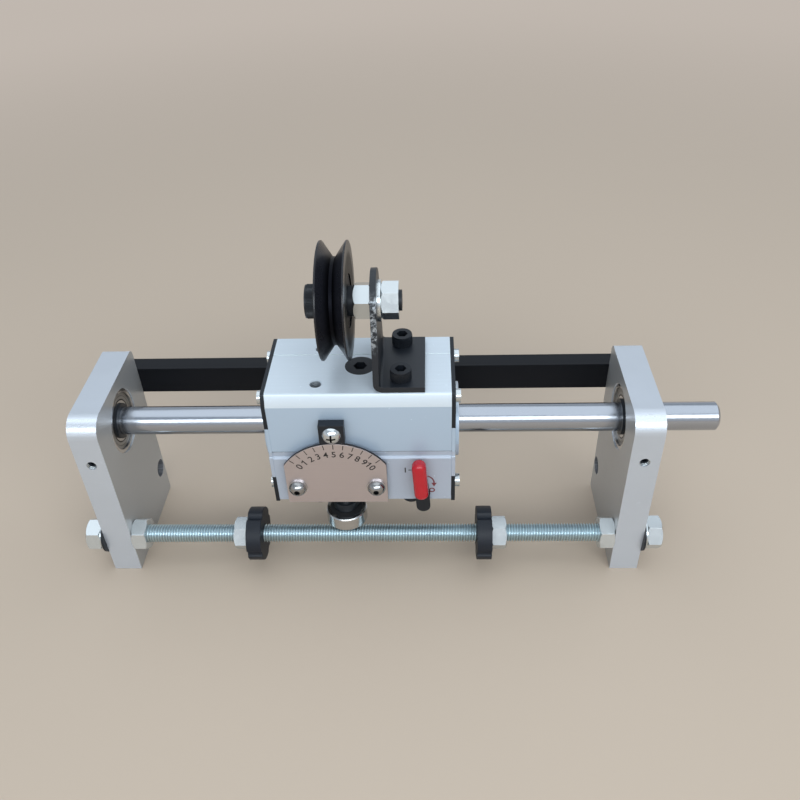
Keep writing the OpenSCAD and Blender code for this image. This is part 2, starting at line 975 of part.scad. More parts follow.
// Reversing lever with its roller
module at_reverse() {
    translate([reverse_x, reverse_y, 0])
        rotate(-reverse_rest)
            children();
}

module reversing_lever() {
    color(dark)
        at_reverse()
            difference() {
                union() {
                    zcyl(lever_boss_d, 0, 0, arm_z0, house_bottom - side_gap);
                    zcyl(reverse_w, 0, -reverse_reach, arm_z0, arm_z0 + reverse_t);
                    box(-reverse_w / 2, reverse_w / 2, -reverse_reach, 0, arm_z0, arm_z0 + reverse_t);
                }
                zcyl(lever_pin_d + 2 * run_gap, 0, 0, arm_z0 - 1, house_bottom);
                zcyl(8, 0, -reverse_reach, arm_z0 - 1, arm_z0 + reverse_t + 1);
            }
}

module lever_pivot() {
    color(steel)
        difference() {
            union() {
                zcyl(lever_pin_d, reverse_x, reverse_y, arm_z0 - side_gap - e, house_bottom + 6);
                zcyl(lever_head_d, reverse_x, reverse_y, arm_z0 - side_gap - 4, arm_z0 - side_gap);
            }
            translate([reverse_x, reverse_y, arm_z0 - side_gap - 5])
                hex_prism(5, 3.5);
        }
}

module roller_pin() {
    color(steel)
        at_reverse() {
            zcyl(8, 0, -reverse_reach, roller_z0, arm_z0 + reverse_t + 1);
            zcyl(11, 0, -reverse_reach, roller_z1 + side_gap, arm_z0);
        }
}

module reversing_roller() {
    color(steel)
        at_reverse()
            translate([0, -reverse_reach, roller_z0])
                difference() {
                    rotate_extrude()
                        polygon([[0, 0], [roller_d / 2 - 0.5, 0], [roller_d / 2, 0.5],
                            [roller_d / 2, roller_w - 0.5], [roller_d / 2 - 0.5, roller_w], [0, roller_w]]);
                    translate([0, 0, -1])
                        cylinder(d = 8 + 2 * run_gap, h = roller_w + 2);
                }
}

// Rolling rings inside the housing
module at_ring(dx, dz) {
    translate([house_x + dx, 0, shaft_z + dz])
        rotate(-ring_tilt)
            children();
}

module ring_holder(up, down) {
    color(alu)
        difference() {
            union() {
                xcyl(holder_d, -holder_w / 2, holder_w / 2, 0, 0);
                zcyl(trunnion_d, 0, 0, race_od / 2 + 1, up);
                zcyl(trunnion_d, 0, 0, -down, -race_od / 2 - 1);
            }
            xcyl(race_od, -race_w / 2, holder_w, 0, 0);
            xcyl(race_od - 4, -holder_w, 0, 0, 0);
        }
}

module ring_outer() {
    color(steel)
        xtube(race_od, race_mid + 2 * side_gap, -race_w / 2, race_w / 2, 0, 0);
}

module ring_inner() {
    r = ring_bore / 2;
    color(steel)
        along_x(-race_w / 2, 0, 0)
            rotate_extrude()
                polygon([[r + 0.3, 0], [race_mid / 2, 0], [race_mid / 2, race_w], [r + 0.3, race_w],
                    [r, race_w / 2 + 1], [r, race_w / 2 - 1]]);
}

module left_ring_holder() {
    at_ring(-ring_pitch, ring_drop)
        ring_holder(trunnion_up - ring_drop, trunnion_down + ring_drop);
}

module left_ring_outer() {
    at_ring(-ring_pitch, ring_drop)
        ring_outer();
}

module left_ring_inner() {
    at_ring(-ring_pitch, ring_drop)
        ring_inner();
}

module middle_ring_holder() {
    at_ring(0, -ring_drop)
        ring_holder(house_top - plug_h - 0.5 - shaft_z + ring_drop, trunnion_down - ring_drop);
}

module middle_ring_outer() {
    at_ring(0, -ring_drop)
        ring_outer();
}

module middle_ring_inner() {
    at_ring(0, -ring_drop)
        ring_inner();
}

module right_ring_holder() {
    at_ring(ring_pitch, ring_drop)
        ring_holder(trunnion_up - ring_drop, trunnion_down + ring_drop);
}

module right_ring_outer() {
    at_ring(ring_pitch, ring_drop)
        ring_outer();
}

module right_ring_inner() {
    at_ring(ring_pitch, ring_drop)
        ring_inner();
}

// Adjustable stops on the rod
module stop_disc(x0) {
    color(dark)
        difference() {
            xcyl(stop_d, x0, x0 + stop_w, rod_y, rod_z);
            xcyl(rod_d + 2 * run_gap, x0 - 1, x0 + stop_w + 1, rod_y, rod_z);
            for (a = [6, 96, 186, 276])
                translate([0, rod_y, rod_z])
                    rotate([a, 0, 0])
                        xcyl(5, x0 - 1, x0 + stop_w + 1, stop_d / 2 + 1, 0);
        }
}

module left_stop_disc() {
    stop_disc(-stop_left - stop_w);
}

module left_stop_nut() {
    color(zinc)
        xnut(nut_af, rod_d + 2 * run_gap, -stop_left - stop_w - nut_h, nut_h, rod_y, rod_z);
}

module right_stop_disc() {
    stop_disc(stop_right);
}

module right_stop_nut() {
    color(zinc)
        xnut(nut_af, rod_d + 2 * run_gap, stop_right + stop_w, nut_h, rod_y, rod_z);
}

// One line draws each piece
place() left_side_plate();
place() right_side_plate();
place() guide_bar();
place() guide_bar_screws();
place() stop_rod();
place() rod_nuts();
place() rod_washers();
place() rod_spring_washers();
place() bearing_outer_rings();
place() bearing_circlips();
place() bearing_grub_screws();
place() drive_shaft();
place() bearing_inner_rings();
place() shaft_circlips();
place() upper_housing();
place() lower_housing();
place() end_covers();
place() bush_plates();
place() wiper_rings();
place() cover_screws();
place() base_screws();
place() dial_plate();
place() dial_screws();
place() dial_washers();
place() dial_spacers();
place() thrust_adjuster();
place() thrust_spring();
place() guide_shoe();
place() guide_shoe_screws();
place() pulley_bracket();
place() bracket_screws();
place() pulley_bolt();
place() pulley_nuts();
place() pulley_washers();
place() pulley_bearing_inner();
place() lever_pivot();
place() pulley();
place() pulley_bearing_outer();
place() pitch_pointer();
place() pointer_screw();
place() release_handle();
place() release_cam();
place() reversing_lever();
place() roller_pin();
place() reversing_roller();
place() left_ring_holder();
place() left_ring_outer();
place() left_ring_inner();
place() middle_ring_holder();
place() middle_ring_outer();
place() middle_ring_inner();
place() right_ring_holder();
place() right_ring_outer();
place() right_ring_inner();
place() left_stop_disc();
place() left_stop_nut();
place() right_stop_disc();
place() right_stop_nut();
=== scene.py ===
"""Looks of a rolling-ring traverse unit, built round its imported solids."""

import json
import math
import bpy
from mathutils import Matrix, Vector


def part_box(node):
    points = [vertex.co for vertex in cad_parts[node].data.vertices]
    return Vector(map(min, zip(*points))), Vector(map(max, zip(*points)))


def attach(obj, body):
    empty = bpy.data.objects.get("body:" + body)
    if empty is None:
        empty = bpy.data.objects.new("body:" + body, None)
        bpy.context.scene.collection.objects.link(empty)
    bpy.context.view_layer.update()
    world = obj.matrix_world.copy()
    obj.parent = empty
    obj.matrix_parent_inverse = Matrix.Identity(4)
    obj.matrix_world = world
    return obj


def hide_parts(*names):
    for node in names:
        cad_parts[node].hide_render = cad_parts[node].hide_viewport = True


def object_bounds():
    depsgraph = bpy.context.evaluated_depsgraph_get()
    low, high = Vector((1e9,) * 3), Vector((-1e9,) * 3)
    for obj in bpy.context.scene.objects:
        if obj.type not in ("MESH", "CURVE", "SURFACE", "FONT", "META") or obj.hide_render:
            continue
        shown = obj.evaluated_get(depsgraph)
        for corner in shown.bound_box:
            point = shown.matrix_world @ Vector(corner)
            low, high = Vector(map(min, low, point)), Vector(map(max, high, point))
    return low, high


bl_info = {
    "name": "Traverse unit looks",
    "version": (1, 0, 0),
    "blender": (4, 5, 0),
    "location": "3D View > Sidebar > Traverse",
    "description": "Dresses the solids of a rolling-ring traverse unit with finishes, threads and marks",
    "category": "Object",
}

import bmesh
import bpy
from mathutils import Matrix, Vector

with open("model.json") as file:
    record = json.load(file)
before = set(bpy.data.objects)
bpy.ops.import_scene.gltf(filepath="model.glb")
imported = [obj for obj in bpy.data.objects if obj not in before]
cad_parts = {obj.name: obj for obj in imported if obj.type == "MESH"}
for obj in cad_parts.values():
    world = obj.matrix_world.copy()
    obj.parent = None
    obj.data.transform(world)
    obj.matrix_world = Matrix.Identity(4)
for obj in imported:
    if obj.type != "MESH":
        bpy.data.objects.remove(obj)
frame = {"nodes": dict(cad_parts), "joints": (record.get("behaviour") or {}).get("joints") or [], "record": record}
CAD_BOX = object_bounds()
MM = 0.001
NODES = frame["nodes"]
RECORD = frame["record"]


def body_of(node):
    """Name of the body that carries a solid."""
    bodies = RECORD["behaviour"]["bodies"]
    return next(body for body, nodes in bodies.items() if node in nodes)


def mount(name):
    """A mount of the record by its name."""
    return next(row for row in RECORD["mounts"] if row["name"] == name)


def joint_place(name):
    """The point that a joint turns about."""
    return next(row["pos_m"] for row in frame["joints"] if row["name"] == name)


def middle(node):
    """Centre of a solid's box."""
    low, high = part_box(node)
    return (low + high) / 2


# Node graphs


def arithmetic(operation, swap=False):
    """A method for one operator, or for its reflected form."""

    def method(self, other=0.0):
        return self.math(operation, other, swap)

    return method


class Term:
    """A value in a node graph; arithmetic on it adds Math nodes."""

    def __init__(self, graph, socket):
        self.graph = graph
        self.socket = socket

    def math(self, operation, other=0.0, swap=False):
        """Adds a Math node on this value and another one."""
        first, second = (other, self) if swap else (self, other)
        return self.graph.node("ShaderNodeMath", {0: first, 1: second}, {"operation": operation})

    __add__ = arithmetic("ADD")
    __radd__ = arithmetic("ADD", True)
    __sub__ = arithmetic("SUBTRACT")
    __rsub__ = arithmetic("SUBTRACT", True)
    __mul__ = arithmetic("MULTIPLY")
    __rmul__ = arithmetic("MULTIPLY", True)
    __truediv__ = arithmetic("DIVIDE")
    __rtruediv__ = arithmetic("DIVIDE", True)
    __pow__ = arithmetic("POWER")
    __rpow__ = arithmetic("POWER", True)
    __gt__ = arithmetic("GREATER_THAN")
    __lt__ = arithmetic("LESS_THAN")
    __abs__ = arithmetic("ABSOLUTE")


def distance(first, second):
    """Distance of a point from an axis, from its two offsets."""
    return (first**2.0 + second**2.0) ** 0.5


class Graph:
    """Adds nodes to a tree and joins them."""

    def __init__(self, tree):
        self.tree = tree

    def join(self, value, socket):
        """Links a term to a socket, or sets a plain value on it."""
        if isinstance(value, Term):
            self.tree.links.new(value.socket, socket)
        else:
            socket.default_value = value

    def node(self, kind, inputs=None, settings=None, out=0):
        """Adds a node with its settings, then the values or links of its sockets."""
        made = self.tree.nodes.new(kind)
        for key, value in (settings or {}).items():
            if key == "stops":
                ramp = made.color_ramp
                while len(ramp.elements) < len(value):
                    ramp.elements.new(0.5)
                for element, (position, colour) in zip(ramp.elements, value):
                    element.position = position
                    element.color = (*colour, 1.0)
            else:
                setattr(made, key, value)
        for key, value in (inputs or {}).items():
            self.join(value, made.inputs[key])
        return Term(self, made.outputs[out]) if made.outputs else None

    def sibling(self, term, out):
        """Another output of the node that a term comes from."""
        return Term(self, term.socket.node.outputs[out])

    def parts(self, vector):
        """The three numbers of a vector."""
        x = self.node("ShaderNodeSeparateXYZ", {0: vector})
        return x, self.sibling(x, 1), self.sibling(x, 2)


class Finish(Graph):
    """A material with one Principled shader, read on Object coordinates.

    The colour and roughness that it starts with are for viewers that read no node graph.
    """

    def __init__(self, name, colour, roughness, metallic=0.0, **constants):
        self.colour = tuple(colour)
        self.material = bpy.data.materials.new(name)
        self.material.use_nodes = True
        super().__init__(self.material.node_tree)
        self.tree.nodes.clear()
        shader = self.node("ShaderNodeBsdfPrincipled")
        self.shader = shader.socket.node
        self.node("ShaderNodeOutputMaterial", {"Surface": shader})
        self.set("Base Color", (*self.colour, 1.0))
        self.set("Roughness", roughness)
        self.set("Metallic", metallic)
        for key, value in constants.items():
            self.set(key.replace("_", " ").title().replace("Ior", "IOR"), value)
        self.place = self.node("ShaderNodeTexCoord", out="Object")

    def set(self, socket, value):
        """Gives the shader's socket a value or a link."""
        self.join(value, self.shader.inputs[socket])

    def noise(self, scale, detail=4.0, rough=0.55, place=None):
        """Even noise; its scale counts waves in a metre."""
        inputs = {"Vector": place or self.place, "Scale": scale, "Detail": detail, "Roughness": rough}
        return self.node("ShaderNodeTexNoise", inputs)

    def grain(self, stretch, detail=3.0, rough=0.6):
        """Noise drawn out into lines: few waves in a metre along them, many across."""
        place = self.node("ShaderNodeMapping", {"Vector": self.place, "Scale": stretch})
        return self.noise(1.0, detail, rough, place)

    def fade(self, value, low, high):
        """Goes smoothly from 0 at the low value to 1 at the high one."""
        inputs = {"Value": value, "From Min": low, "From Max": high}
        return self.node("ShaderNodeMapRange", inputs, {"interpolation_type": "SMOOTHSTEP"})

    def blend(self, amount, first, second):
        """Goes from the first colour to the second one."""
        inputs = {
            "Factor": amount,
            6: first if isinstance(first, Term) else (*first, 1.0),
            7: second if isinstance(second, Term) else (*second, 1.0),
        }
        return self.node("ShaderNodeMix", inputs, {"data_type": "RGBA"}, 2)

    def mottle(self, amount, dark, light):
        """Goes from a darker to a lighter tint of the finish's own colour."""
        return self.blend(amount, tint(self.colour, dark), tint(self.colour, light))

    def axes(self):
        """The place on the piece, as x, y and z."""
        return self.parts(self.place)

    def facing(self):
        """The way the surface faces, as x, y and z."""
        return self.parts(self.sibling(self.place, "Normal"))

    def radius_about_x(self, centre):
        """Distance from an axis along X through a centre."""
        _, y, z = self.axes()
        return distance(y - centre.y, z - centre.z)

    def relief(self, height, strength, depth):
        """Fine bumps on the surface."""
        inputs = {"Height": height, "Strength": strength, "Distance": depth}
        self.set("Normal", self.node("ShaderNodeBump", inputs))

    def done(self, colour, roughness, metallic=None):
        """Ends the finish with what varies over the surface."""
        self.set("Base Color", colour)
        self.set("Roughness", roughness)
        if metallic is not None:
            self.set("Metallic", metallic)
        return self.material


def tint(colour, factor):
    """A colour made darker or lighter."""
    return tuple(min(1.0, channel * factor) for channel in colour)


def cast(colour, factors):
    """A colour with a factor of its own for each channel."""
    return tuple(channel * factor for channel, factor in zip(colour, factors))


# Finishes

ZINC_BLOOM = (240.0, 4.0, 0.6)  # scale, detail and roughness of the noise on zinc plate
BORE_SKIN = 0.1 * MM  # how far outside a bore's wall its painted shade still counts


def plate_aluminium(colour):
    """Milled and anodised plate: cutter lines and scuffs, a painted highlight on the rounded corners, painted
    shade with a warm cast on the broad sides, and painted shade in the frame-hole bore.
    """
    bore_shade_colour = (0.05, 0.035, 0.03)
    f = Finish("plate_aluminium", colour, 0.4, 0.4)
    cloud = f.noise(22.0)
    lines = f.grain((140.0, 140.0, 2600.0))
    scuff = f.fade(f.noise(160.0, 6.0, 0.7), 0.62, 0.74)
    highlight_streaks = f.grain((3.0, 3.0, 900.0), 2.0, 0.5)
    across, front, up = f.facing()
    broad = f.fade(abs(across), 0.5, 0.85)
    # painted highlight: faces between front and top, on the rounded corners, are lightened in streaks and made a
    # little glossier
    corner = f.fade(abs(front * up), 0.2, 0.42)
    edges = f.mottle(cloud, 0.9, 1.06)
    edges = f.blend(corner * (highlight_streaks * 1.6), edges, tint(colour, 1.36))
    # painted shade with a warm painted floor reflection: the broad side faces are darker and warmer
    shaded_sides = cast(colour, (0.8, 0.76, 0.7))
    # worn holds the real scuffs together with the painted highlight and painted shade above
    worn = f.blend(scuff * 0.35, f.blend(broad, edges, shaded_sides), tint(colour, 1.2))
    # painted shade in the frame-hole bore
    hole = mount("left_frame_hole")
    bore = f.radius_about_x(Vector(hole["pos_m"])) < hole["dims"]["r_mm"] * MM + BORE_SKIN
    f.relief(lines + cloud * 0.3, 0.08, 0.1 * MM)
    return f.done(
        f.blend(bore * 0.65, worn, bore_shade_colour),
        0.27 + lines * 0.12 + scuff * 0.1 - corner * 0.06,
    )


def housing_aluminium(colour):
    """Extruded and anodised section: die lines and scuffs, a painted highlight on the top band of the front and in
    the top groove, and painted shade on the front faces, in the seam groove and in the tapped holes.
    """
    band_height = 7.0 * MM
    groove_y, groove_half, groove_top, groove_depth = 10.0 * MM, 1.0 * MM, 0.02 * MM, 1.0 * MM
    seam_skin, seam_height, seam_depth = 0.05 * MM, 0.62 * MM, 1.5 * MM
    bore_top = 0.5 * MM
    f = Finish("housing_aluminium", colour, 0.4, 0.2)
    low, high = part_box("upper_housing")
    x, y, z = f.axes()
    _, ahead, _ = f.facing()
    die = f.grain((6.0, 900.0, 900.0), 4.0, 0.65)
    speck = f.fade(f.noise(420.0, 2.0, 0.5), 0.7, 0.78)
    anodised = f.mottle(die * 0.6 + f.noise(30.0) * 0.4, 0.92, 1.05)
    front = f.fade(ahead * -1.0, 0.3, 0.7)
    # painted shade: front faces are darker and bluer, and greyer below the seam
    front_shade = f.blend(z < low.z, cast(colour, (0.69, 0.755, 0.83)), cast(colour, (0.69, 0.69, 0.74)))
    # painted highlight: the top band of the front faces is lightened
    band = front * (z > high.z - band_height)
    lit = f.blend(band, f.blend(front, anodised, front_shade), tint(colour, 1.1))
    # painted highlight in the top groove, where its walls would shade it
    groove = (abs(y - groove_y) < groove_half) * (z < high.z - groove_top)
    groove = groove * (z > high.z - groove_depth)
    lit = f.blend(groove, lit, tint(colour, 1.4))
    # painted shade in the seam groove under the upper housing
    seam = (z > low.z - seam_skin) * (z < low.z + seam_height)
    seam = seam * (y > low.y + seam_skin) * (y < low.y + seam_depth)
    # painted shade in the tapped holes
    taps = mount("accessory_holes")
    across = x - taps["pos_m"][0]
    along = abs(y - taps["pos_m"][1]) - taps["dims"]["spacing_y_mm"] / 2 * MM
    bore = distance(across, along) < taps["dims"]["hole_r_mm"] * MM + BORE_SKIN
    bore = bore * (z < high.z - bore_top)
    # real scuffs over the painted highlights and painted shade
    scuffed_and_lit = f.blend(speck * 0.4, lit, tint(colour, 1.25))
    f.relief(die, 0.1, 0.12 * MM)
    # the seam and the tapped holes get their painted shade here
    return f.done(
        f.blend(seam * 0.85 + bore * 0.7, scuffed_and_lit, tint(colour, 0.06)),
        0.32 + die * 0.14 + speck * 0.1,
    )


def ground_shaft(colour):
    """Ground and polished round bar with very fine marks round it."""
    f = Finish("ground_shaft", colour, 0.12, 1.0)
    rounds = f.grain((5200.0, 20.0, 20.0), 2.0, 0.5)
    smear = f.grain((11.25, 45.0, 45.0), 3.0, 0.5)
    f.relief(rounds, 0.03, 0.04 * MM)
    return f.done(f.mottle(smear, 0.94, 1.04), 0.15 + rounds * 0.06 + smear * 0.05)


def bright_zinc(name, colour, metallic):
    """Bright zinc plate with a soft bloom."""
    f = Finish(name, colour, 0.24, metallic)
    bloom = f.noise(*ZINC_BLOOM)
    f.relief(f.noise(900.0, 3.0, 0.6), 0.05, 0.05 * MM)
    return f.done(f.mottle(bloom, 0.9, 1.06), 0.16 + bloom * 0.16)


def domed_screw(name, colour, node, key_radius, slot_width):
    """Bright domed screw heads, one or a pair side by side, with the key recess painted dark as painted shade."""
    recess_shade = (0.02, 0.02, 0.022)
    f = Finish(name, colour, 0.2, 1.0)
    low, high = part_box(node)
    centre, head_radius = (low + high) / 2, (high.z - low.z) / 2
    x, _, z = f.axes()
    side = abs(abs(x - centre.x) - ((high.x - low.x) / 2 - head_radius))
    rise = abs(z - centre.z)
    inside = distance(side, rise) < key_radius
    slots = (side < slot_width / 2) + (rise < slot_width / 2)
    # painted shade: the key recess is painted nearly black and dull
    recess = inside * (slots > 0.5)
    bloom = f.noise(*ZINC_BLOOM)
    return f.done(
        f.blend(recess, f.mottle(bloom, 0.85, 1.0), recess_shade),
        0.14 + bloom * 0.1 + recess * 0.4,
    )


def green_zinc(colour):
    """Passivated zinc on a rolled thread: a cool green film, rougher in the roots, and painted shade that darkens
    the roots.
    """
    root, crest = 4.1 * MM, 4.9 * MM
    f = Finish("green_zinc", colour, 0.3, 1.0)
    film = f.noise(60.0, 4.0, 0.6)
    height = f.fade(f.radius_about_x(middle("stop_rod")), root, crest)
    plated = f.blend(film, tint(colour, 0.88), cast(colour, (1.02, 1.1, 1.08)))
    # painted shade: the thread's roots are darker than its crests
    return f.done(f.blend(height, tint(colour, 0.6), plated), 0.46 - height * 0.2 + film * 0.06)


def ground_steel(colour):
    """Ground bearing steel."""
    f = Finish("ground_steel", colour, 0.22, 1.0)
    grind = f.grain((700.0, 700.0, 3000.0))
    return f.done(f.mottle(grind, 0.9, 1.05), 0.15 + grind * 0.15)


def bearing_face(colour):
    """Bearing rings seen end on: ground rims, a dull pressed shield and painted shade in the seams between them.
    """
    inner_seam, step, outer_seam = 11.4, 13.4, 15.5  # radii in millimetres
    inner_half, step_half, outer_half = 0.3, 0.12, 0.22  # half the widths of the seams painted dark as shade
    seam_shade = (0.05, 0.05, 0.05)
    f = Finish("bearing_face", colour, 0.25, 1.0)
    r = f.radius_about_x(middle("drive_shaft")) / MM
    shield = f.fade(r, inner_seam - 0.1, inner_seam + 0.2)
    shield = shield * (1.0 - f.fade(r, outer_seam - 0.3, outer_seam))
    # painted shade: dark rings at the seams and at the shield's step
    seams = (abs(r - inner_seam) < inner_half) + (abs(r - outer_seam) < outer_half)
    seams = seams + (abs(r - step) < step_half)
    mill = f.noise(320.0)
    rims = f.mottle(mill, 0.92, 1.05)
    f.relief(shield * -0.5 - seams * 0.5, 0.5, 0.2 * MM)
    return f.done(
        f.blend(seams, f.blend(shield, rims, tint(colour, 0.7)), seam_shade),
        0.18 + shield * 0.16 + mill * 0.06,
    )


def roller_face(colour):
    """Roller ring: bright ground rim and a dark rubber seal on both faces."""
    seal_inner, seal_outer = 5.2, 8.9  # radii in millimetres
    rubber = (0.015, 0.015, 0.017)
    f = Finish("roller_face", colour, 0.2, 1.0)
    centre = middle("reversing_roller")
    x, y, _ = f.axes()
    _, _, up = f.facing()
    r = distance(x - centre.x, y - centre.y) / MM
    seal = (abs(up) > 0.8) * (r < seal_outer) * (r > seal_inner)
    grind = f.grain((30.0, 30.0, 4000.0))
    return f.done(
        f.blend(seal, f.mottle(grind, 0.9, 1.05), rubber),
        0.14 + grind * 0.12 + seal * 0.35,
        1.0 - seal,
    )


def spacer_pair(zinc, black):
    """Bright washer outside the bracket; the spacer between the bracket and the pulley is painted black as painted
    shade.
    """
    f = Finish("spacer_pair", zinc, 0.25, 1.0)
    x, _, _ = f.axes()
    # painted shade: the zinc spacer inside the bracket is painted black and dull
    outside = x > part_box("pulley_bracket")[0].x
    bloom = f.noise(*ZINC_BLOOM)
    return f.done(
        f.blend(outside, black, f.mottle(bloom, 0.9, 1.06)),
        0.36 - outside * 0.16 + bloom * 0.12,
        outside * 0.7 + 0.3,
    )


def pulley_seal(steel, rubber):
    """Small sealed bearing: ground rims with a rubber seal between them."""
    seal_inner, seal_outer = 6.6, 11.9  # radii in millimetres
    f = Finish("pulley_seal", steel, 0.25, 1.0)
    r = f.radius_about_x(middle("pulley")) / MM
    seal = (r > seal_inner) * (r < seal_outer)
    mill = f.noise(400.0)
    return f.done(
        f.blend(seal, f.mottle(mill, 0.5, 0.6), rubber),
        0.24 + seal * 0.3 + mill * 0.08,
        1.0 - seal,
    )


def black_oxide(colour):
    """Oiled black oxide on steel."""
    f = Finish("black_oxide", colour, 0.42, 0.3)
    oil = f.noise(180.0, 5.0, 0.6)
    f.relief(f.noise(1500.0, 2.0, 0.5), 0.06, 0.06 * MM)
    return f.done(f.mottle(oil, 0.7, 1.6), 0.32 + oil * 0.2)


def black_bar(colour):
    """Drawn bar with a satin black coat and long rub marks."""
    f = Finish("black_bar", colour, 0.4, 0.0, specular_ior_level=0.22)
    rubs = f.grain((9.0, 700.0, 700.0), 5.0, 0.65)
    dust = f.fade(f.noise(500.0, 3.0, 0.6), 0.66, 0.78)
    f.relief(rubs, 0.07, 0.1 * MM)
    return f.done(f.mottle(rubs * 0.5 + dust * 0.4, 0.8, 2.0), 0.34 + rubs * 0.16)


def bracket_paint(colour, bare):
    """Black paint on bent sheet; the sheared edge of the upright is worn to bare metal."""
    worn_low, worn_high, soft, sheet = 19 * MM, 50 * MM, 8 * MM, 4.0 * MM
    f = Finish("bracket_paint", colour, 0.4, 0.0)
    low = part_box("pulley_bracket")[0]
    x, _, z = f.axes()
    across, ahead, _ = f.facing()
    start, end = low.z + worn_low, low.z + worn_high
    rise = f.fade(z, start, start + soft) * (1.0 - f.fade(z, end - soft, end))
    edge = (1.0 - f.fade(abs(across), 0.25, 0.75)) * f.fade(ahead * -1.0, 0.0, 0.5)
    torn = f.fade(f.noise(420.0, 6.0, 0.75), 0.47, 0.57)
    bright = rise * (x < low.x + sheet) * edge * torn
    spray = f.noise(700.0, 3.0, 0.6)
    f.relief(spray + bright * -0.8, 0.12, 0.12 * MM)
    return f.done(
        f.blend(bright, f.mottle(spray, 0.75, 1.5), bare),
        0.34 + spray * 0.14 - bright * 0.05,
        bright,
    )


def black_nylon(colour):
    """Turned or moulded black nylon with a soft sheen."""
    f = Finish("black_nylon", colour, 0.5, 0.0, specular_ior_level=0.35)
    cloud = f.noise(140.0, 4.0, 0.6)
    f.relief(f.noise(1100.0, 3.0, 0.6), 0.1, 0.1 * MM)
    return f.done(f.mottle(cloud, 0.75, 1.45), 0.42 + cloud * 0.16)


def pulley_black(colour):
    """Turned black wheel: faint tool rings, and painted shade on the groove root and hub, which are also duller
    and made metallic to dim their reflection.
    """
    dull, glossy = 20.5, 25.0  # radii in millimetres
    ring_rate = 14.0  # radians of tool rings in a millimetre
    f = Finish("pulley_black", colour, 0.3, 0.0, specular_ior_level=0.4)
    r = f.radius_about_x(middle("pulley")) / MM
    rings = (r * ring_rate).math("SINE")
    # painted shade on the groove root and hub: darker, rougher, and metallic to dim their reflection
    root_shade = 1.0 - f.fade(r, dull, glossy)
    haze = f.noise(120.0, 4.0, 0.6)
    f.relief(rings * 0.25 + haze * 0.2, 0.06, 0.1 * MM)
    return f.done(
        f.mottle(haze * 0.6 - root_shade * 0.5, 0.8, 1.9),
        0.22 + haze * 0.12 + root_shade * 0.2,
        root_shade,
    )


def brushed_dial(colour):
    """Brushed dial plate with lines along its length and painted shade on its rim."""
    f = Finish("brushed_dial", colour, 0.3, 1.0)
    brush = f.grain((25.0, 900.0, 2600.0), 4.0, 0.7)
    _, ahead, _ = f.facing()
    # painted shade: faces that do not face the front, the plate's rim, are painted nearly black
    rim_shade = 1.0 - f.fade(abs(ahead), 0.5, 0.8)
    plate = f.mottle(brush * 0.6 + f.noise(40.0) * 0.4, 0.9, 1.08)
    f.relief(brush, 0.08, 0.08 * MM)
    return f.done(f.blend(rim_shade, plate, tint(colour, 0.12)), 0.28 + brush * 0.16 + rim_shade * 0.2)


def red_plastic(colour):
    """Moulded glossy plastic."""
    f = Finish("red_plastic", colour, 0.2, 0.0, coat_weight=0.15, coat_roughness=0.06)
    flow = f.noise(90.0, 3.0, 0.5)
    f.relief(f.noise(500.0, 2.0, 0.5), 0.04, 0.1 * MM)
    return f.done(f.mottle(flow, 0.86, 1.1), 0.16 + flow * 0.1)


def ink(name, colour):
    """Printed ink, a little uneven."""
    f = Finish(name, colour, 0.55)
    speckle = f.noise(1800.0, 2.0, 0.5)
    return f.done(f.mottle(speckle, 0.7, 1.3), 0.48 + speckle * 0.14)


def pale_floor(colour):
    """Plain floor that keeps its own colour far from the lamps."""
    lit_reach, far_reach = 0.45, 1.3  # metres from the middle
    dark = (0.0, 0.0, 0.0)
    f = Finish("pale_floor", colour, 0.7, 0.0, emission_strength=1.0)
    x, y, _ = f.axes()
    far = f.fade(distance(x, y), lit_reach, far_reach)
    plain = f.mottle(f.noise(3.0), 0.985, 1.01)
    f.set("Emission Color", f.blend(far, dark, cast(colour, (0.88, 0.95, 1.06))))
    return f.done(f.blend(far, plain, dark), 0.7)


# Pieces

WELD = 0.002 * MM  # points of a solid's mesh that lie closer than this are one point
FLAT = math.radians(0.6)  # faces that turn by less than this are one face
SHARP = math.radians(38)  # edges that turn by more than this are eased


def link_object(name, data):
    """A new object in the scene."""
    made = bpy.data.objects.new(name, data)
    bpy.context.scene.collection.objects.link(made)
    return made


def paint(mesh, look):
    """Gives a mesh one of the finishes."""
    mesh.materials.clear()
    mesh.materials.append(finish(look))


def settle(piece, look, node, stands_for=False):
    """Gives a finished piece its look, and the body of the solid it is on or stands for."""
    paint(piece.data, look)
    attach(piece, body_of(node))
    if stands_for:
        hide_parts(node)


def coat(look, *nodes):
    """Puts a finish on solids that stay as they are."""
    for node in nodes:
        paint(NODES[node].data, look)


def as_mesh(shape, name):
    """A mesh from a finished bmesh, which is freed."""
    mesh = bpy.data.meshes.new(name)
    shape.to_mesh(mesh)
    shape.free()
    return mesh


def plain_mesh(source, name):
    """The evaluated mesh of an object, as a new object without modifiers."""
    graph = bpy.context.evaluated_depsgraph_get()
    mesh = bpy.data.meshes.new_from_object(source.evaluated_get(graph), depsgraph=graph)
    bpy.data.objects.remove(source)
    mesh.name = name
    return link_object(name, mesh)


def placed_mesh(piece, stand):
    """The mesh of a piece, moved by a matrix; its object is removed."""
    mesh = piece.data
    mesh.transform(stand)
    bpy.data.objects.remove(piece)
    return mesh


def joined(name, meshes):
    """One object from several plain meshes."""
    shape = bmesh.new()
    for mesh in meshes:
        shape.from_mesh(mesh)
        bpy.data.meshes.remove(mesh)
    return link_object(name, as_mesh(shape, name))


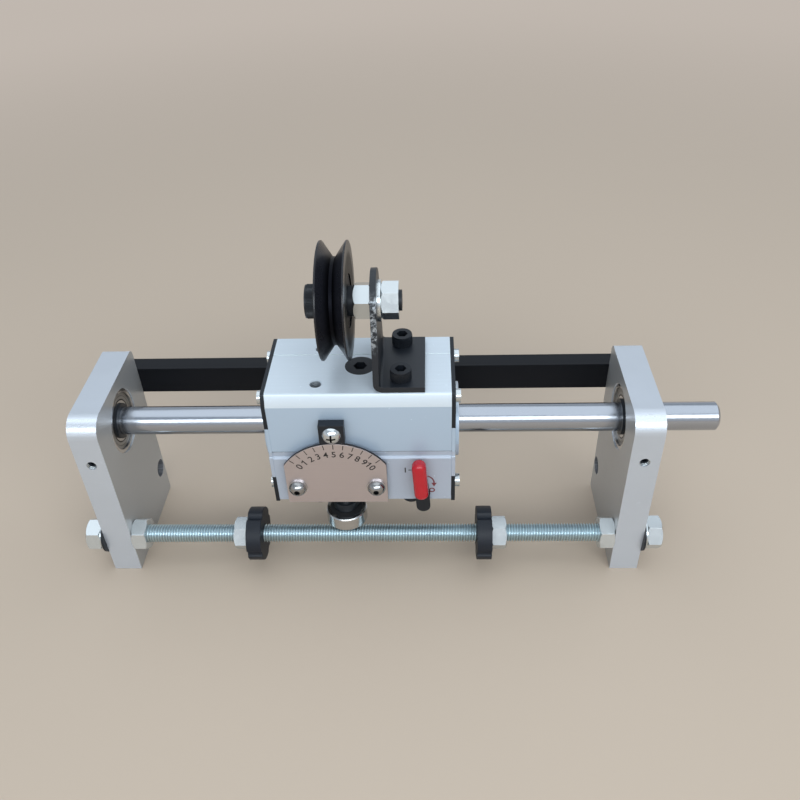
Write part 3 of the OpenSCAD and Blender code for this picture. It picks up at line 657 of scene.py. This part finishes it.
def eased(node, width, segments):
    """A copy of a solid with its edges broken by a small round."""
    mesh = NODES[node].data.copy()
    shape = bmesh.new()
    shape.from_mesh(mesh)
    bmesh.ops.remove_doubles(shape, verts=shape.verts, dist=WELD)
    bmesh.ops.dissolve_limit(shape, angle_limit=FLAT, verts=shape.verts, edges=shape.edges)
    for face in shape.faces:
        face.smooth = True
    shape.to_mesh(mesh)
    shape.free()
    mesh.materials.clear()
    draft = link_object(f"{node}_draft", mesh)
    edge = draft.modifiers.new("edge", "BEVEL")
    edge.width = width
    edge.segments = segments
    edge.limit_method = "ANGLE"
    edge.angle_limit = SHARP
    edge.use_clamp_overlap = True
    edge.miter_outer = "MITER_ARC"
    level = draft.modifiers.new("level", "WEIGHTED_NORMAL")
    level.weight = 90
    level.keep_sharp = False
    return plain_mesh(draft, f"{node}_eased")


def dress(look, edge, *nodes, segments=2):
    """Replaces solids by eased copies with a finish; edge is the name of one of the sizes."""
    for node in nodes:
        settle(eased(node, getattr(sizes(), edge), segments), look, node, stands_for=True)


def prism(outlines, y_front, y_back):
    """Thin plates in the XZ plane from outlines given as lists of (x, z)."""
    shape = bmesh.new()
    for outline in outlines:
        front = [shape.verts.new((x, y_front, z)) for x, z in outline]
        face = shape.faces.new(front)
        moved = bmesh.ops.extrude_face_region(shape, geom=[face])["geom"]
        for vert in (v for v in moved if isinstance(v, bmesh.types.BMVert)):
            vert.co.y = y_back
    bmesh.ops.recalc_face_normals(shape, faces=shape.faces)
    return as_mesh(shape, "prism")


def ribbon(path, width):
    """Outline of a line of even width along points (x, z)."""
    left, right = [], []
    for i, (x, z) in enumerate(path):
        x0, z0 = path[max(i - 1, 0)]
        x1, z1 = path[min(i + 1, len(path) - 1)]
        length = math.hypot(x1 - x0, z1 - z0)
        nx, nz = -(z1 - z0) / length * width / 2, (x1 - x0) / length * width / 2
        left.append((x + nx, z + nz))
        right.append((x - nx, z - nz))
    return left + right[::-1]


def arc(centre, radius, start, end, steps=24):
    """Points (x, z) on an arc, clockwise from the top between two angles in degrees."""
    turn = [math.radians(start + (end - start) * i / steps) for i in range(steps + 1)]
    return [(centre[0] + radius * math.sin(a), centre[1] + radius * math.cos(a)) for a in turn]


# Geometry node trees


class Rule(Graph):
    """A geometry node tree with named inputs, made into plain meshes."""

    def __init__(self, name, floats, wholes=(), vectors=()):
        super().__init__(bpy.data.node_groups.new(name, "GeometryNodeTree"))
        face = self.tree.interface
        face.new_socket(name="Geometry", in_out="OUTPUT", socket_type="NodeSocketGeometry")
        kinds = dict.fromkeys(floats, "NodeSocketFloat")
        kinds.update(dict.fromkeys(wholes, "NodeSocketInt"))
        kinds.update(dict.fromkeys(vectors, "NodeSocketVector"))
        kinds["Material"] = "NodeSocketMaterial"
        self.keys = {}
        for key, kind in kinds.items():
            made = face.new_socket(name=key, in_out="INPUT", socket_type=kind)
            self.keys[key] = made.identifier
        self.entry = self.tree.nodes.new("NodeGroupInput")

    def __getitem__(self, key):
        """One of the tree's inputs, by its name."""
        return Term(self, self.entry.outputs[key])

    def vector(self, x, y, z):
        """A vector from three numbers."""
        return self.node("ShaderNodeCombineXYZ", {0: x, 1: y, 2: z})

    def put(self, shape, place):
        """Moves the points of a shape to their places round the tree's centre."""
        moved = self.node("ShaderNodeVectorMath", {0: place, 1: self["Centre"]}, {"operation": "ADD"})
        return self.node("GeometryNodeSetPosition", {0: shape, "Position": moved})

    def bars(self, points, size, angles):
        """A turned bar on each point."""
        bar = self.node("GeometryNodeMeshCube", {"Size": size})
        turn = self.node("FunctionNodeEulerToRotation", {0: angles})
        inputs = {"Points": points, "Instance": bar, "Rotation": turn}
        return self.node("GeometryNodeInstanceOnPoints", inputs)

    def close(self, shape):
        """Ends the tree with real geometry and its material."""
        real = self.node("GeometryNodeRealizeInstances", {0: shape})
        done = self.node("GeometryNodeSetMaterial", {0: real, "Material": self["Material"]})
        self.node("NodeGroupOutput", {0: done})
        return self

    def make(self, name, **values):
        """A plain object from the tree and values for its inputs."""
        draft = link_object(f"{name}_draft", bpy.data.meshes.new(name))
        modifier = draft.modifiers.new("rule", "NODES")
        modifier.node_group = self.tree
        for key, value in values.items():
            modifier[self.keys[key]] = value
        return plain_mesh(draft, name)


def thread_rule():
    """A rod along X whose radius follows a screw thread, with bevelled ends."""
    steep, root = 1.5, 0.25  # slope of the flanks and cut of the flat roots
    floats = ("Length", "Radius", "Depth", "Pitch", "Bevel")
    rule = Rule("Screw thread", floats, ("Around", "Steps"), ("Centre",))
    inputs = {
        "Vertices": rule["Around"],
        "Side Segments": rule["Steps"],
        "Radius": 1.0,
        "Depth": rule["Length"],
    }
    tube = rule.node("GeometryNodeMeshCylinder", inputs, {"fill_type": "NGON"})
    x, y, z = rule.parts(rule.node("GeometryNodeInputPosition"))
    angle = y.math("ARCTAN2", x)
    wave = (z / rule["Pitch"] + angle / math.tau).math("PINGPONG", 0.5) * 2.0
    crest = (wave * steep - root).math("MINIMUM", 1.0).math("MAXIMUM", 0.0)
    radius = rule["Radius"] - rule["Depth"] * (1.0 - crest)
    room = rule["Length"] / 2.0 - abs(z)
    radius = radius.math("MINIMUM", rule["Radius"] - rule["Bevel"] + room)
    place = rule.vector(z, angle.math("COSINE") * radius, angle.math("SINE") * radius)
    return rule.close(rule.put(tube, place))


def tick_rule():
    """Short radial bars spread evenly over an arc in the XZ plane."""
    rule = Rule("Dial ticks", ("Span", "Radius"), ("Count",), ("Centre", "Size"))
    points = rule.node("GeometryNodeMeshLine", {"Count": rule["Count"]})
    index = rule.node("GeometryNodeInputIndex")
    angle = (index / (rule["Count"] - 1.0) - 0.5) * rule["Span"]
    radius = rule["Radius"]
    place = rule.vector(angle.math("SINE") * radius, 0.0, angle.math("COSINE") * radius)
    points = rule.put(points, place)
    return rule.close(rule.bars(points, rule["Size"], rule.vector(0.0, angle, 0.0)))


def ridge_rule():
    """Thread ridges inside a tapped hole, as a coil about Z that starts at the origin."""
    rule = Rule("Tapped ridges", ("Turns", "Radius", "Height", "Ridge"))
    inputs = {
        "Resolution": 36,
        "Rotations": rule["Turns"],
        "Start Radius": rule["Radius"],
        "End Radius": rule["Radius"],
        "Height": rule["Height"],
    }
    coil = rule.node("GeometryNodeCurveSpiral", inputs)
    inputs = {"Resolution": 4, "Radius": rule["Ridge"]}
    profile = rule.node("GeometryNodeCurvePrimitiveCircle", inputs)
    inputs = {"Curve": coil, "Profile Curve": profile, "Fill Caps": True}
    return rule.close(rule.node("GeometryNodeCurveToMesh", inputs))


def knurl_rule():
    """Fine ridges round a screw head, along its axis Z."""
    rule = Rule("Head knurl", ("Radius", "Height", "Ridge"), ("Count",))
    ring = rule.node("GeometryNodeMeshCircle", {"Vertices": rule["Count"], "Radius": rule["Radius"]})
    angle = rule.node("GeometryNodeInputIndex") / rule["Count"] * math.tau
    ridge = rule["Ridge"]
    size = rule.vector(ridge, ridge, rule["Height"])
    turned = angle + math.pi / 4  # a corner of each ridge points outwards
    return rule.close(rule.bars(ring, size, rule.vector(0.0, 0.0, turned)))


# Settings


def tone(name, colour, words):
    """A colour that a user may change."""
    return bpy.props.FloatVectorProperty(
        name=name, description=words, default=colour, size=3, subtype="COLOR", min=0.0, max=1.0
    )


def measure(name, size, words):
    """A length that a user may change, given in millimetres."""
    return bpy.props.FloatProperty(
        name=name, description=words, default=size * MM, min=0.0, subtype="DISTANCE", unit="LENGTH"
    )


class TraverseColours(bpy.types.PropertyGroup):
    """Colours of the finishes."""

    plate: tone("Plates", (0.58, 0.62, 0.675), "Anodised side plates")
    housing: tone("Housing", (0.66, 0.74, 0.81), "Anodised housing and bush plates")
    shaft: tone("Shaft", (0.43, 0.46, 0.51), "Polished shaft")
    zinc: tone("Zinc", (0.74, 0.79, 0.81), "Bright nuts and screws")
    rod: tone("Rod", (0.58, 0.70, 0.76), "Green-tinted threaded rod")
    steel: tone("Steel", (0.56, 0.56, 0.56), "Bearings and roller")
    black: tone("Black steel", (0.009, 0.012, 0.017), "Black screws and levers")
    bar: tone("Guide bar", (0.0025, 0.0035, 0.006), "Coated guide bar")
    nylon: tone("Nylon", (0.006, 0.009, 0.015), "Stop discs and guide shoe")
    pulley: tone("Pulley", (0.008, 0.0085, 0.012), "Cable pulley")
    bare: tone("Bare edge", (0.50, 0.55, 0.60), "Worn edge of the bracket")
    dial: tone("Dial", (0.64, 0.58, 0.595), "Brushed dial plate")
    red: tone("Lever", (0.50, 0.006, 0.018), "Release lever")
    red_ink: tone("Red ink", (0.19, 0.03, 0.04), "Marks beside the lever")
    black_ink: tone("Black ink", (0.02, 0.018, 0.018), "Dial numbers and ticks")
    floor: tone("Floor", (0.55, 0.45, 0.355), "Plain floor")


class TraverseSizes(bpy.types.PropertyGroup):
    """Sizes of the fine detail."""

    plate_edge: measure("Plate edge", 0.5, "Round on the plates and the guide bar")
    housing_edge: measure("Housing edge", 0.4, "Round on the housing's edges")
    sheet_edge: measure("Sheet edge", 0.3, "Round on sheet parts")
    nut_edge: measure("Nut edge", 0.3, "Round on the nuts' edges")
    nylon_edge: measure("Nylon edge", 0.8, "Round on the stop discs and guide shoe")
    dial_edge: measure("Dial edge", 0.15, "Round on the dial plate")
    lever_edge: measure("Lever edge", 0.5, "Round on the pointer and reversing lever")
    cam_edge: measure("Cam edge", 0.6, "Round on the release cam")
    handle_edge: measure("Handle edge", 2.4, "Round on the release lever")
    pulley_edge: measure("Pulley edge", 0.18, "Round on the pulley's rims")
    pitch: measure("Thread pitch", 1.5, "Pitch of the rod's thread")
    depth: measure("Thread depth", 0.8, "Depth of the rod's thread")
    rod_bevel: measure("Rod bevel", 1.0, "Bevel on the rod's ends")
    digit: measure("Digit height", 5.2, "Height of the dial numbers")
    digit_radius: measure("Digit radius", 24.0, "Where the dial numbers stand")
    tick_radius: measure("Tick radius", 29.1, "Where the dial ticks stand")
    tick_width: measure("Tick width", 0.45, "Width of a dial tick")
    tick_length: measure("Tick length", 3.0, "Length of a dial tick")
    print_height: measure("Print height", 0.03, "How far printed marks stand proud")
    knurl: measure("Knurl", 0.32, "Thickness of a ridge on a screw head")
    scale_span: bpy.props.FloatProperty(
        name="Scale span",
        description="Angle between the first and the last dial number",
        default=math.radians(97),
        subtype="ANGLE",
        unit="ROTATION",
    )


def sizes():
    """The sizes as they are set."""
    return bpy.context.scene.traverse_sizes


def finish_rows():
    """What makes each finish, and from which values, by its short name."""
    c = bpy.context.scene.traverse_colours
    key, cross = (1.45 * MM, 2.9 * MM), (2.3 * MM, 1.0 * MM)  # reach and width of the recesses
    return {
        "plate": (plate_aluminium, c.plate),
        "housing": (housing_aluminium, c.housing),
        "shaft": (ground_shaft, c.shaft),
        "zinc": (bright_zinc, "bright_zinc", tint(c.zinc, 0.84), 1.0),
        "pale_zinc": (bright_zinc, "pale_zinc", tint(c.zinc, 0.92), 0.8),
        "keyed": (domed_screw, "keyed_screw", tint(c.steel, 0.7), "dial_screws", *key),
        "crossed": (domed_screw, "crossed_screw", c.zinc, "pointer_screw", *cross),
        "rod": (green_zinc, c.rod),
        "steel": (ground_steel, c.steel),
        "bearing": (bearing_face, tint(c.steel, 0.8)),
        "roller": (roller_face, c.steel),
        # the spacer's painted shade uses the black
        "spacers": (spacer_pair, c.zinc, c.black),
        "seal": (pulley_seal, c.steel, c.nylon),
        "black": (black_oxide, c.black),
        "bar": (black_bar, c.bar),
        "bracket": (bracket_paint, c.black, c.bare),
        "nylon": (black_nylon, c.nylon),
        "pulley": (pulley_black, c.pulley),
        "dial": (brushed_dial, c.dial),
        "red": (red_plastic, c.red),
        "red_ink": (ink, "red_ink", c.red_ink),
        "black_ink": (ink, "black_ink", c.black_ink),
        "floor": (pale_floor, c.floor),
    }


FINISHES = {}


def finish(name):
    """A finish by its short name, made once."""
    if name not in FINISHES:
        maker, *values = finish_rows()[name]
        FINISHES[name] = maker(*values)
    return FINISHES[name]


# Fine detail

RIDGE = 0.4 * MM  # radius of the section of a thread ridge in a tapped hole
RIDGE_INSET = 0.1 * MM  # how far inside the hole's wall the ridge's middle runs
LAST_NUMBER = 10  # the dial's numbers start at 0
DIGIT_BOLD = 0.06 * MM  # how much the digits' strokes are thickened on each side
FLAG_ENDS = ((-0.2, 0.23), (0.06, 0.05))  # across and down from a digit's top left corner
FLAG_WIDTH = 0.1  # this and the ends are in parts of the digit height
KNURLS = 9  # ridges round a screw head for each millimetre of its radius


def tapped(name, look, stands, radius, depth, turns):
    """Thread ridges in several holes of one size, one hole for each placing matrix."""
    rule = ridge_rule()
    values = {"Turns": turns, "Radius": radius - RIDGE_INSET, "Height": depth, "Ridge": RIDGE}
    coils = [rule.make("coil", Material=finish(look), **values) for _ in stands]
    return joined(name, [placed_mesh(coil, stand) for coil, stand in zip(coils, stands)])


def knurled(name, look, heads):
    """Ridges round screw heads, each given by its matrix, radius and height in millimetres."""
    rule = knurl_rule()
    bands = []
    for stand, radius, height in heads:
        values = {"Count": int(radius * KNURLS), "Radius": radius * MM, "Height": height * MM}
        band = rule.make("knurl", Ridge=sizes().knurl, Material=finish(look), **values)
        bands.append(placed_mesh(band, stand))
    return joined(name, bands)


def flag_of_one(upright, size, proud):
    """The short slanted stroke at the top of a figure 1, whose font draws it as a bare stem."""
    left = min(v.co.x for v in upright.vertices)
    top = max(v.co.z for v in upright.vertices)
    stroke = [(left + across * size, top - down * size) for across, down in FLAG_ENDS]
    return prism([ribbon(stroke, FLAG_WIDTH * size)], -proud, proud)


def numbers_round(pivot, span, proud):
    """The dial's numbers on an arc about a pivot, as one object."""
    size, stood = sizes().digit, Matrix.Rotation(math.pi / 2, 4, "X")
    strokes = []
    for number in range(LAST_NUMBER + 1):
        letters = bpy.data.curves.new("digits", "FONT")
        letters.body = str(number)
        letters.size = size
        letters.align_x = "CENTER"
        letters.align_y = "CENTER"
        letters.extrude = proud
        letters.offset = DIGIT_BOLD
        letters.resolution_u = 6
        flat = plain_mesh(link_object("digits_draft", letters), f"digit_{number}")
        upright = placed_mesh(flat, stood)
        parts = [upright]
        if str(number).startswith("1"):
            parts.append(flag_of_one(upright, size, proud))
        turn = Matrix.Rotation((number / LAST_NUMBER - 0.5) * span, 4, "Y")
        stand = Matrix.Translation(pivot) @ (turn @ Matrix.Translation((0, 0, sizes().digit_radius)))
        for part in parts:
            part.transform(stand)
        strokes += parts
    return joined("dial_numbers", strokes)


# Stage

FLOOR_REACH = 6.0  # metres to each side
FLOOR_DROP = 0.05 * MM  # keeps the floor just under the feet
SKY_STRENGTH = 0.62
SKY = (  # light from all round, from below the horizon to straight up
    (0.49, (0.36, 0.40, 0.45)),
    (0.58, (0.43, 0.48, 0.54)),
    (0.75, (0.56, 0.63, 0.72)),
    (1.0, (0.68, 0.77, 0.88)),
)
BACKDROP = (  # what the camera and reflections see instead
    (0.49, (0.62, 0.64, 0.67)),
    (0.62, (0.60, 0.63, 0.67)),
    (0.75, (0.45, 0.50, 0.56)),
    (1.0, (0.42, 0.48, 0.55)),
)
LAMPS = (  # name, place, width and depth, power, colour
    ("ceiling", (0.1, 0.2, 1.7), (2.6, 2.6), 18.0, (0.91, 0.965, 1.0)),
    ("window", (0.2, -1.2, 0.88), (2.2, 0.5), 16.0, (0.90, 0.96, 1.0)),
)
LAMP_AIM = (0, 0, 0.06)
SENSOR_WIDTH, FOCAL_LENGTH = 36.0, 36.68  # millimetres
NEAR, FAR = 0.01, 50.0  # metres
CAMERA_PLACE = (0.02172, -0.33274, 0.35599)
CAMERA_TURN = (  # the camera's right, up and backward directions
    (0.99915, 0.02585, -0.03201),
    (0.00907, 0.62049, 0.78424),
    (0.04013, -0.78387, 0.61971),
)


def lay_floor():
    """A plain floor under the part."""
    shape = bmesh.new()
    bmesh.ops.create_grid(shape, x_segments=1, y_segments=1, size=FLOOR_REACH)
    mesh = as_mesh(shape, "floor")
    mesh.transform(Matrix.Translation((0, 0, CAD_BOX[0].z - FLOOR_DROP)))
    paint(mesh, "floor")
    link_object("floor", mesh)


def light_room(scene):
    """A soft sky, and a pale backdrop for the camera and for reflections."""
    world = bpy.data.worlds.new("soft_room")
    scene.world = world
    world.use_nodes = True
    room = Graph(world.node_tree)
    room.tree.nodes.clear()
    _, _, up = room.parts(room.node("ShaderNodeTexCoord", out="Generated"))
    height = up * 0.5 + 0.5

    def glow(stops, strength):
        colour = room.node("ShaderNodeValToRGB", {0: height}, {"stops": stops})
        return room.node("ShaderNodeBackground", {"Color": colour, "Strength": strength})

    ray = room.node("ShaderNodeLightPath", out="Is Camera Ray")
    seen = ray + room.sibling(ray, "Is Glossy Ray") + room.sibling(ray, "Is Transmission Ray")
    inputs = {0: seen, 1: glow(SKY, SKY_STRENGTH), 2: glow(BACKDROP, 1.0)}
    mixed = room.node("ShaderNodeMixShader", inputs)
    room.node("ShaderNodeOutputWorld", {"Surface": mixed})


def hang_lamps():
    """Two wide lamps aimed at the part."""
    for name, where, size, power, colour in LAMPS:
        data = bpy.data.lights.new(name, "AREA")
        data.shape = "RECTANGLE"
        data.size, data.size_y = size
        data.energy = power
        data.color = colour
        lamp = link_object(name, data)
        lamp.location = where
        aim = Vector(LAMP_AIM) - Vector(where)
        lamp.rotation_euler = aim.to_track_quat("-Z", "Y").to_euler()


def set_camera(scene):
    """A camera at the photograph's viewing angle."""
    lens = bpy.data.cameras.new("camera")
    lens.sensor_width = SENSOR_WIDTH
    lens.lens = FOCAL_LENGTH
    lens.clip_start, lens.clip_end = NEAR, FAR
    camera = link_object("camera", lens)
    turn = Matrix(CAMERA_TURN).transposed().to_4x4()
    camera.matrix_world = Matrix.Translation(CAMERA_PLACE) @ turn
    scene.camera = camera


# Operators


class TRAVERSE_OT_side_plates(bpy.types.Operator):
    """Side plates, guide bar and the small parts fixed in them"""

    bl_idname = "traverse.side_plates"
    bl_label = "Side plates"

    def execute(self, context):
        ridge_start, ridge_depth, turns = 0.4 * MM, 1.6 * MM, 2.0
        dress("plate", "plate_edge", "left_side_plate", "right_side_plate")
        dress("bar", "plate_edge", "guide_bar")
        coat("black", "guide_bar_screws", "bearing_grub_screws")
        low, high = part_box("bearing_grub_screws")
        radius, front = (high.z - low.z) / 2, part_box("left_side_plate")[0].y
        turn = Matrix.Rotation(-math.pi / 2, 4, "X")
        stands = [
            Matrix.Translation((x, front + ridge_start, low.z + radius)) @ turn
            for x in (low.x + radius, high.x - radius)
        ]
        ridges = tapped("grub_ridges", "zinc", stands, radius, ridge_depth, turns)
        settle(ridges, "zinc", "left_side_plate")
        return {"FINISHED"}


class TRAVERSE_OT_shaft(bpy.types.Operator):
    """Polished shaft with its bearings and spring rings"""

    bl_idname = "traverse.shaft"
    bl_label = "Shaft and bearings"

    def execute(self, context):
        coat("shaft", "drive_shaft")
        coat("bearing", "bearing_outer_rings", "bearing_inner_rings")
        coat("steel", "bearing_circlips")
        coat("black", "shaft_circlips")
        return {"FINISHED"}


class TRAVERSE_OT_stop_rod(bpy.types.Operator):
    """Threaded stop rod with nuts and washers"""

    bl_idname = "traverse.stop_rod"
    bl_label = "Stop rod"

    def execute(self, context):
        around, steps_per_turn = 24, 6
        low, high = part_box("stop_rod")
        span, pitch = high.x - low.x, sizes().pitch
        rod = thread_rule().make(
            "threaded_rod",
            Centre=middle("stop_rod"),
            Length=span,
            Radius=(high.y - low.y) / 2,
            Depth=sizes().depth,
            Pitch=pitch,
            Bevel=sizes().rod_bevel,
            Around=around,
            Steps=int(span / pitch * steps_per_turn),
            Material=finish("rod"),
        )
        for face in rod.data.polygons:  # the ends, which have many sides, stay flat
            face.use_smooth = len(face.vertices) <= 4
        settle(rod, "rod", "stop_rod", stands_for=True)
        dress("pale_zinc", "nut_edge", "rod_nuts")
        coat("zinc", "rod_spring_washers")
        coat("black", "rod_washers")
        return {"FINISHED"}


class TRAVERSE_OT_stops(bpy.types.Operator):
    """Adjustable stop discs with their lock nuts"""

    bl_idname = "traverse.stops"
    bl_label = "Stops"

    def execute(self, context):
        dress("nylon", "nylon_edge", "left_stop_disc", "right_stop_disc", segments=3)
        dress("pale_zinc", "nut_edge", "left_stop_nut", "right_stop_nut")
        return {"FINISHED"}


class TRAVERSE_OT_housing(bpy.types.Operator):
    """Carriage housing with its end plates, screws and guide shoe"""

    bl_idname = "traverse.housing"
    bl_label = "Housing"

    def execute(self, context):
        ridge_foot, ridge_depth, turns = 6.7 * MM, 6.0 * MM, 6.0
        dress("housing", "housing_edge", "upper_housing", "lower_housing")
        dress("housing", "sheet_edge", "bush_plates", "wiper_rings")
        dress("black", "sheet_edge", "end_covers")
        dress("nylon", "nylon_edge", "guide_shoe", segments=3)
        coat("zinc", "cover_screws")
        coat("black", "base_screws", "thrust_adjuster", "guide_shoe_screws")
        taps = mount("accessory_holes")
        x, y, z = taps["pos_m"]
        reach, radius = taps["dims"]["spacing_y_mm"] / 2 * MM, taps["dims"]["hole_r_mm"] * MM
        stands = [Matrix.Translation((x, y + side, z - ridge_foot)) for side in (-reach, reach)]
        ridges = tapped("tapped_ridges", "housing", stands, radius, ridge_depth, turns)
        settle(ridges, "housing", "upper_housing")
        return {"FINISHED"}


class TRAVERSE_OT_rings(bpy.types.Operator):
    """Rolling rings and the thrust spring inside the housing"""

    bl_idname = "traverse.rings"
    bl_label = "Rolling rings"

    def execute(self, context):
        for side in ("left", "middle", "right"):
            coat("housing", f"{side}_ring_holder")
            coat("steel", f"{side}_ring_outer", f"{side}_ring_inner")
        coat("steel", "thrust_spring")
        return {"FINISHED"}


class TRAVERSE_OT_dial(bpy.types.Operator):
    """Pitch dial with its numbers and ticks, and the pointer"""

    bl_idname = "traverse.dial"
    bl_label = "Pitch dial"

    def execute(self, context):
        dress("dial", "dial_edge", "dial_plate")
        coat("keyed", "dial_screws")
        coat("crossed", "pointer_screw")
        coat("steel", "dial_washers", "dial_spacers")
        dress("black", "lever_edge", "pitch_pointer")
        pivot = Vector(joint_place("pointer_set"))
        pivot.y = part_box("dial_plate")[0].y
        span, proud = sizes().scale_span, sizes().print_height
        ticks = tick_rule().make(
            "dial_ticks",
            Centre=pivot,
            Count=LAST_NUMBER + 1,
            Span=span,
            Radius=sizes().tick_radius,
            Size=(sizes().tick_width, 2 * proud, sizes().tick_length),
            Material=finish("black_ink"),
        )
        settle(ticks, "black_ink", "dial_plate")
        settle(numbers_round(pivot, span, proud), "black_ink", "dial_plate")
        return {"FINISHED"}


class TRAVERSE_OT_release(bpy.types.Operator):
    """Release lever and the marks beside it"""

    bl_idname = "traverse.release"
    bl_label = "Release lever"

    def execute(self, context):
        dress("red", "handle_edge", "release_handle", segments=5)
        dress("black", "cam_edge", "release_cam", segments=3)
        pivot = joint_place("release_turn")
        x, z = pivot[0] / MM, pivot[2] / MM
        face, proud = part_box("lower_housing")[0].y, sizes().print_height

        def printed(name, look, *outlines):
            scaled = [[(px * MM, pz * MM) for px, pz in outline] for outline in outlines]
            piece = link_object(name, prism(scaled, face - proud, face + proud))
            settle(piece, look, "lower_housing")

        # The marks are laid out in millimetres from the lever's pivot.
        on_x, on_z, on_half, on_width = x - 8.6, z + 16.2, 1.7, 0.65
        tick_start, tick_end, tick_width = on_x + 1.6, on_x + 3.6, 0.55
        on_mark = ribbon([(on_x, on_z - on_half), (on_x, on_z + on_half)], on_width)
        on_tick = ribbon([(tick_start, on_z), (tick_end, on_z)], tick_width)
        printed("mark_on", "black_ink", on_mark, on_tick)

        sweep_centre, sweep_radius, sweep_width = (x + 1.2, z + 7.2), 4.9, 0.75
        sweep = arc(sweep_centre, sweep_radius, 18, 92)
        head_x, head_z = sweep[-1]
        half, point = 1.4, 2.6
        head = [(head_x - half, head_z), (head_x, head_z - point), (head_x + half, head_z)]
        ring, ring_outer, ring_inner, steps = (x + 5.0, z + 1.9), 1.6, 0.9, 28
        outer = arc(ring, ring_outer, 0, 360, steps)
        inner = arc(ring, ring_inner, 0, 360, steps)
        mid = steps // 2
        right_half = outer[: mid + 1] + inner[: mid + 1][::-1]
        left_half = outer[mid:] + inner[mid:][::-1]
        printed("mark_off", "red_ink", ribbon(sweep, sweep_width), head, right_half, left_half)
        return {"FINISHED"}


class TRAVERSE_OT_reversing(bpy.types.Operator):
    """Reversing lever under the housing, with its roller"""

    bl_idname = "traverse.reversing"
    bl_label = "Reversing lever"

    def execute(self, context):
        dress("black", "lever_edge", "reversing_lever")
        coat("steel", "roller_pin", "lever_pivot")
        coat("roller", "reversing_roller")
        return {"FINISHED"}


class TRAVERSE_OT_pulley(bpy.types.Operator):
    """Cable pulley on its bracket, with knurled screw heads"""

    bl_idname = "traverse.pulley"
    bl_label = "Pulley and bracket"

    def execute(self, context):
        screw_radius, screw_band, screw_drop = 5.0, 4.6, 3.1  # millimetres
        bolt_radius, bolt_band, bolt_inset = 8.0, 5.2, 3.3
        dress("pulley", "pulley_edge", "pulley")
        dress("bracket", "sheet_edge", "pulley_bracket")
        coat("seal", "pulley_bearing_outer", "pulley_bearing_inner")
        dress("zinc", "nut_edge", "pulley_nuts")
        coat("spacers", "pulley_washers")
        coat("black", "pulley_bolt", "bracket_screws")
        low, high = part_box("bracket_screws")
        x, z = (low.x + high.x) / 2, high.z - screw_drop * MM
        heads = [
            (Matrix.Translation((x, y, z)), screw_radius, screw_band)
            for y in (low.y + screw_radius * MM, high.y - screw_radius * MM)
        ]
        centre = middle("pulley_bolt")
        centre.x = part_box("pulley_bolt")[0].x + bolt_inset * MM
        side = Matrix.Translation(centre) @ Matrix.Rotation(math.pi / 2, 4, "Y")
        heads.append((side, bolt_radius, bolt_band))
        settle(knurled("head_knurls", "black", heads), "black", "bracket_screws")
        return {"FINISHED"}


class TRAVERSE_OT_stage(bpy.types.Operator):
    """Floor, light and camera"""

    bl_idname = "traverse.stage"
    bl_label = "Stage"

    def execute(self, context):
        context.scene.view_settings.view_transform = "Standard"
        lay_floor()
        light_room(context.scene)
        hang_lamps()
        set_camera(context.scene)
        return {"FINISHED"}


class TRAVERSE_PT_looks(bpy.types.Panel):
    """Lists the pieces and their settings"""

    bl_idname = "TRAVERSE_PT_looks"
    bl_label = "Traverse unit"
    bl_space_type = "VIEW_3D"
    bl_region_type = "UI"
    bl_category = "Traverse"

    def draw(self, context):
        layout = self.layout
        for step in STEPS:
            layout.operator(step.bl_idname)
        for group in (context.scene.traverse_colours, context.scene.traverse_sizes):
            column = layout.column()
            for key in type(group).__annotations__:
                column.prop(group, key)


STEPS = (
    TRAVERSE_OT_stage,
    TRAVERSE_OT_side_plates,
    TRAVERSE_OT_shaft,
    TRAVERSE_OT_stop_rod,
    TRAVERSE_OT_stops,
    TRAVERSE_OT_housing,
    TRAVERSE_OT_rings,
    TRAVERSE_OT_dial,
    TRAVERSE_OT_release,
    TRAVERSE_OT_reversing,
    TRAVERSE_OT_pulley,
)
CLASSES = (TraverseColours, TraverseSizes, *STEPS, TRAVERSE_PT_looks)


def register():
    for item in CLASSES:
        bpy.utils.register_class(item)
    bpy.types.Scene.traverse_colours = bpy.props.PointerProperty(type=TraverseColours)
    bpy.types.Scene.traverse_sizes = bpy.props.PointerProperty(type=TraverseSizes)


def unregister():
    del bpy.types.Scene.traverse_sizes
    del bpy.types.Scene.traverse_colours
    for item in reversed(CLASSES):
        bpy.utils.unregister_class(item)


def main():
    """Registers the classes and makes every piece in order."""
    register()
    for step in STEPS:
        group, name = step.bl_idname.split(".")
        getattr(getattr(bpy.ops, group), name)()


if __name__ == "__main__":
    main()
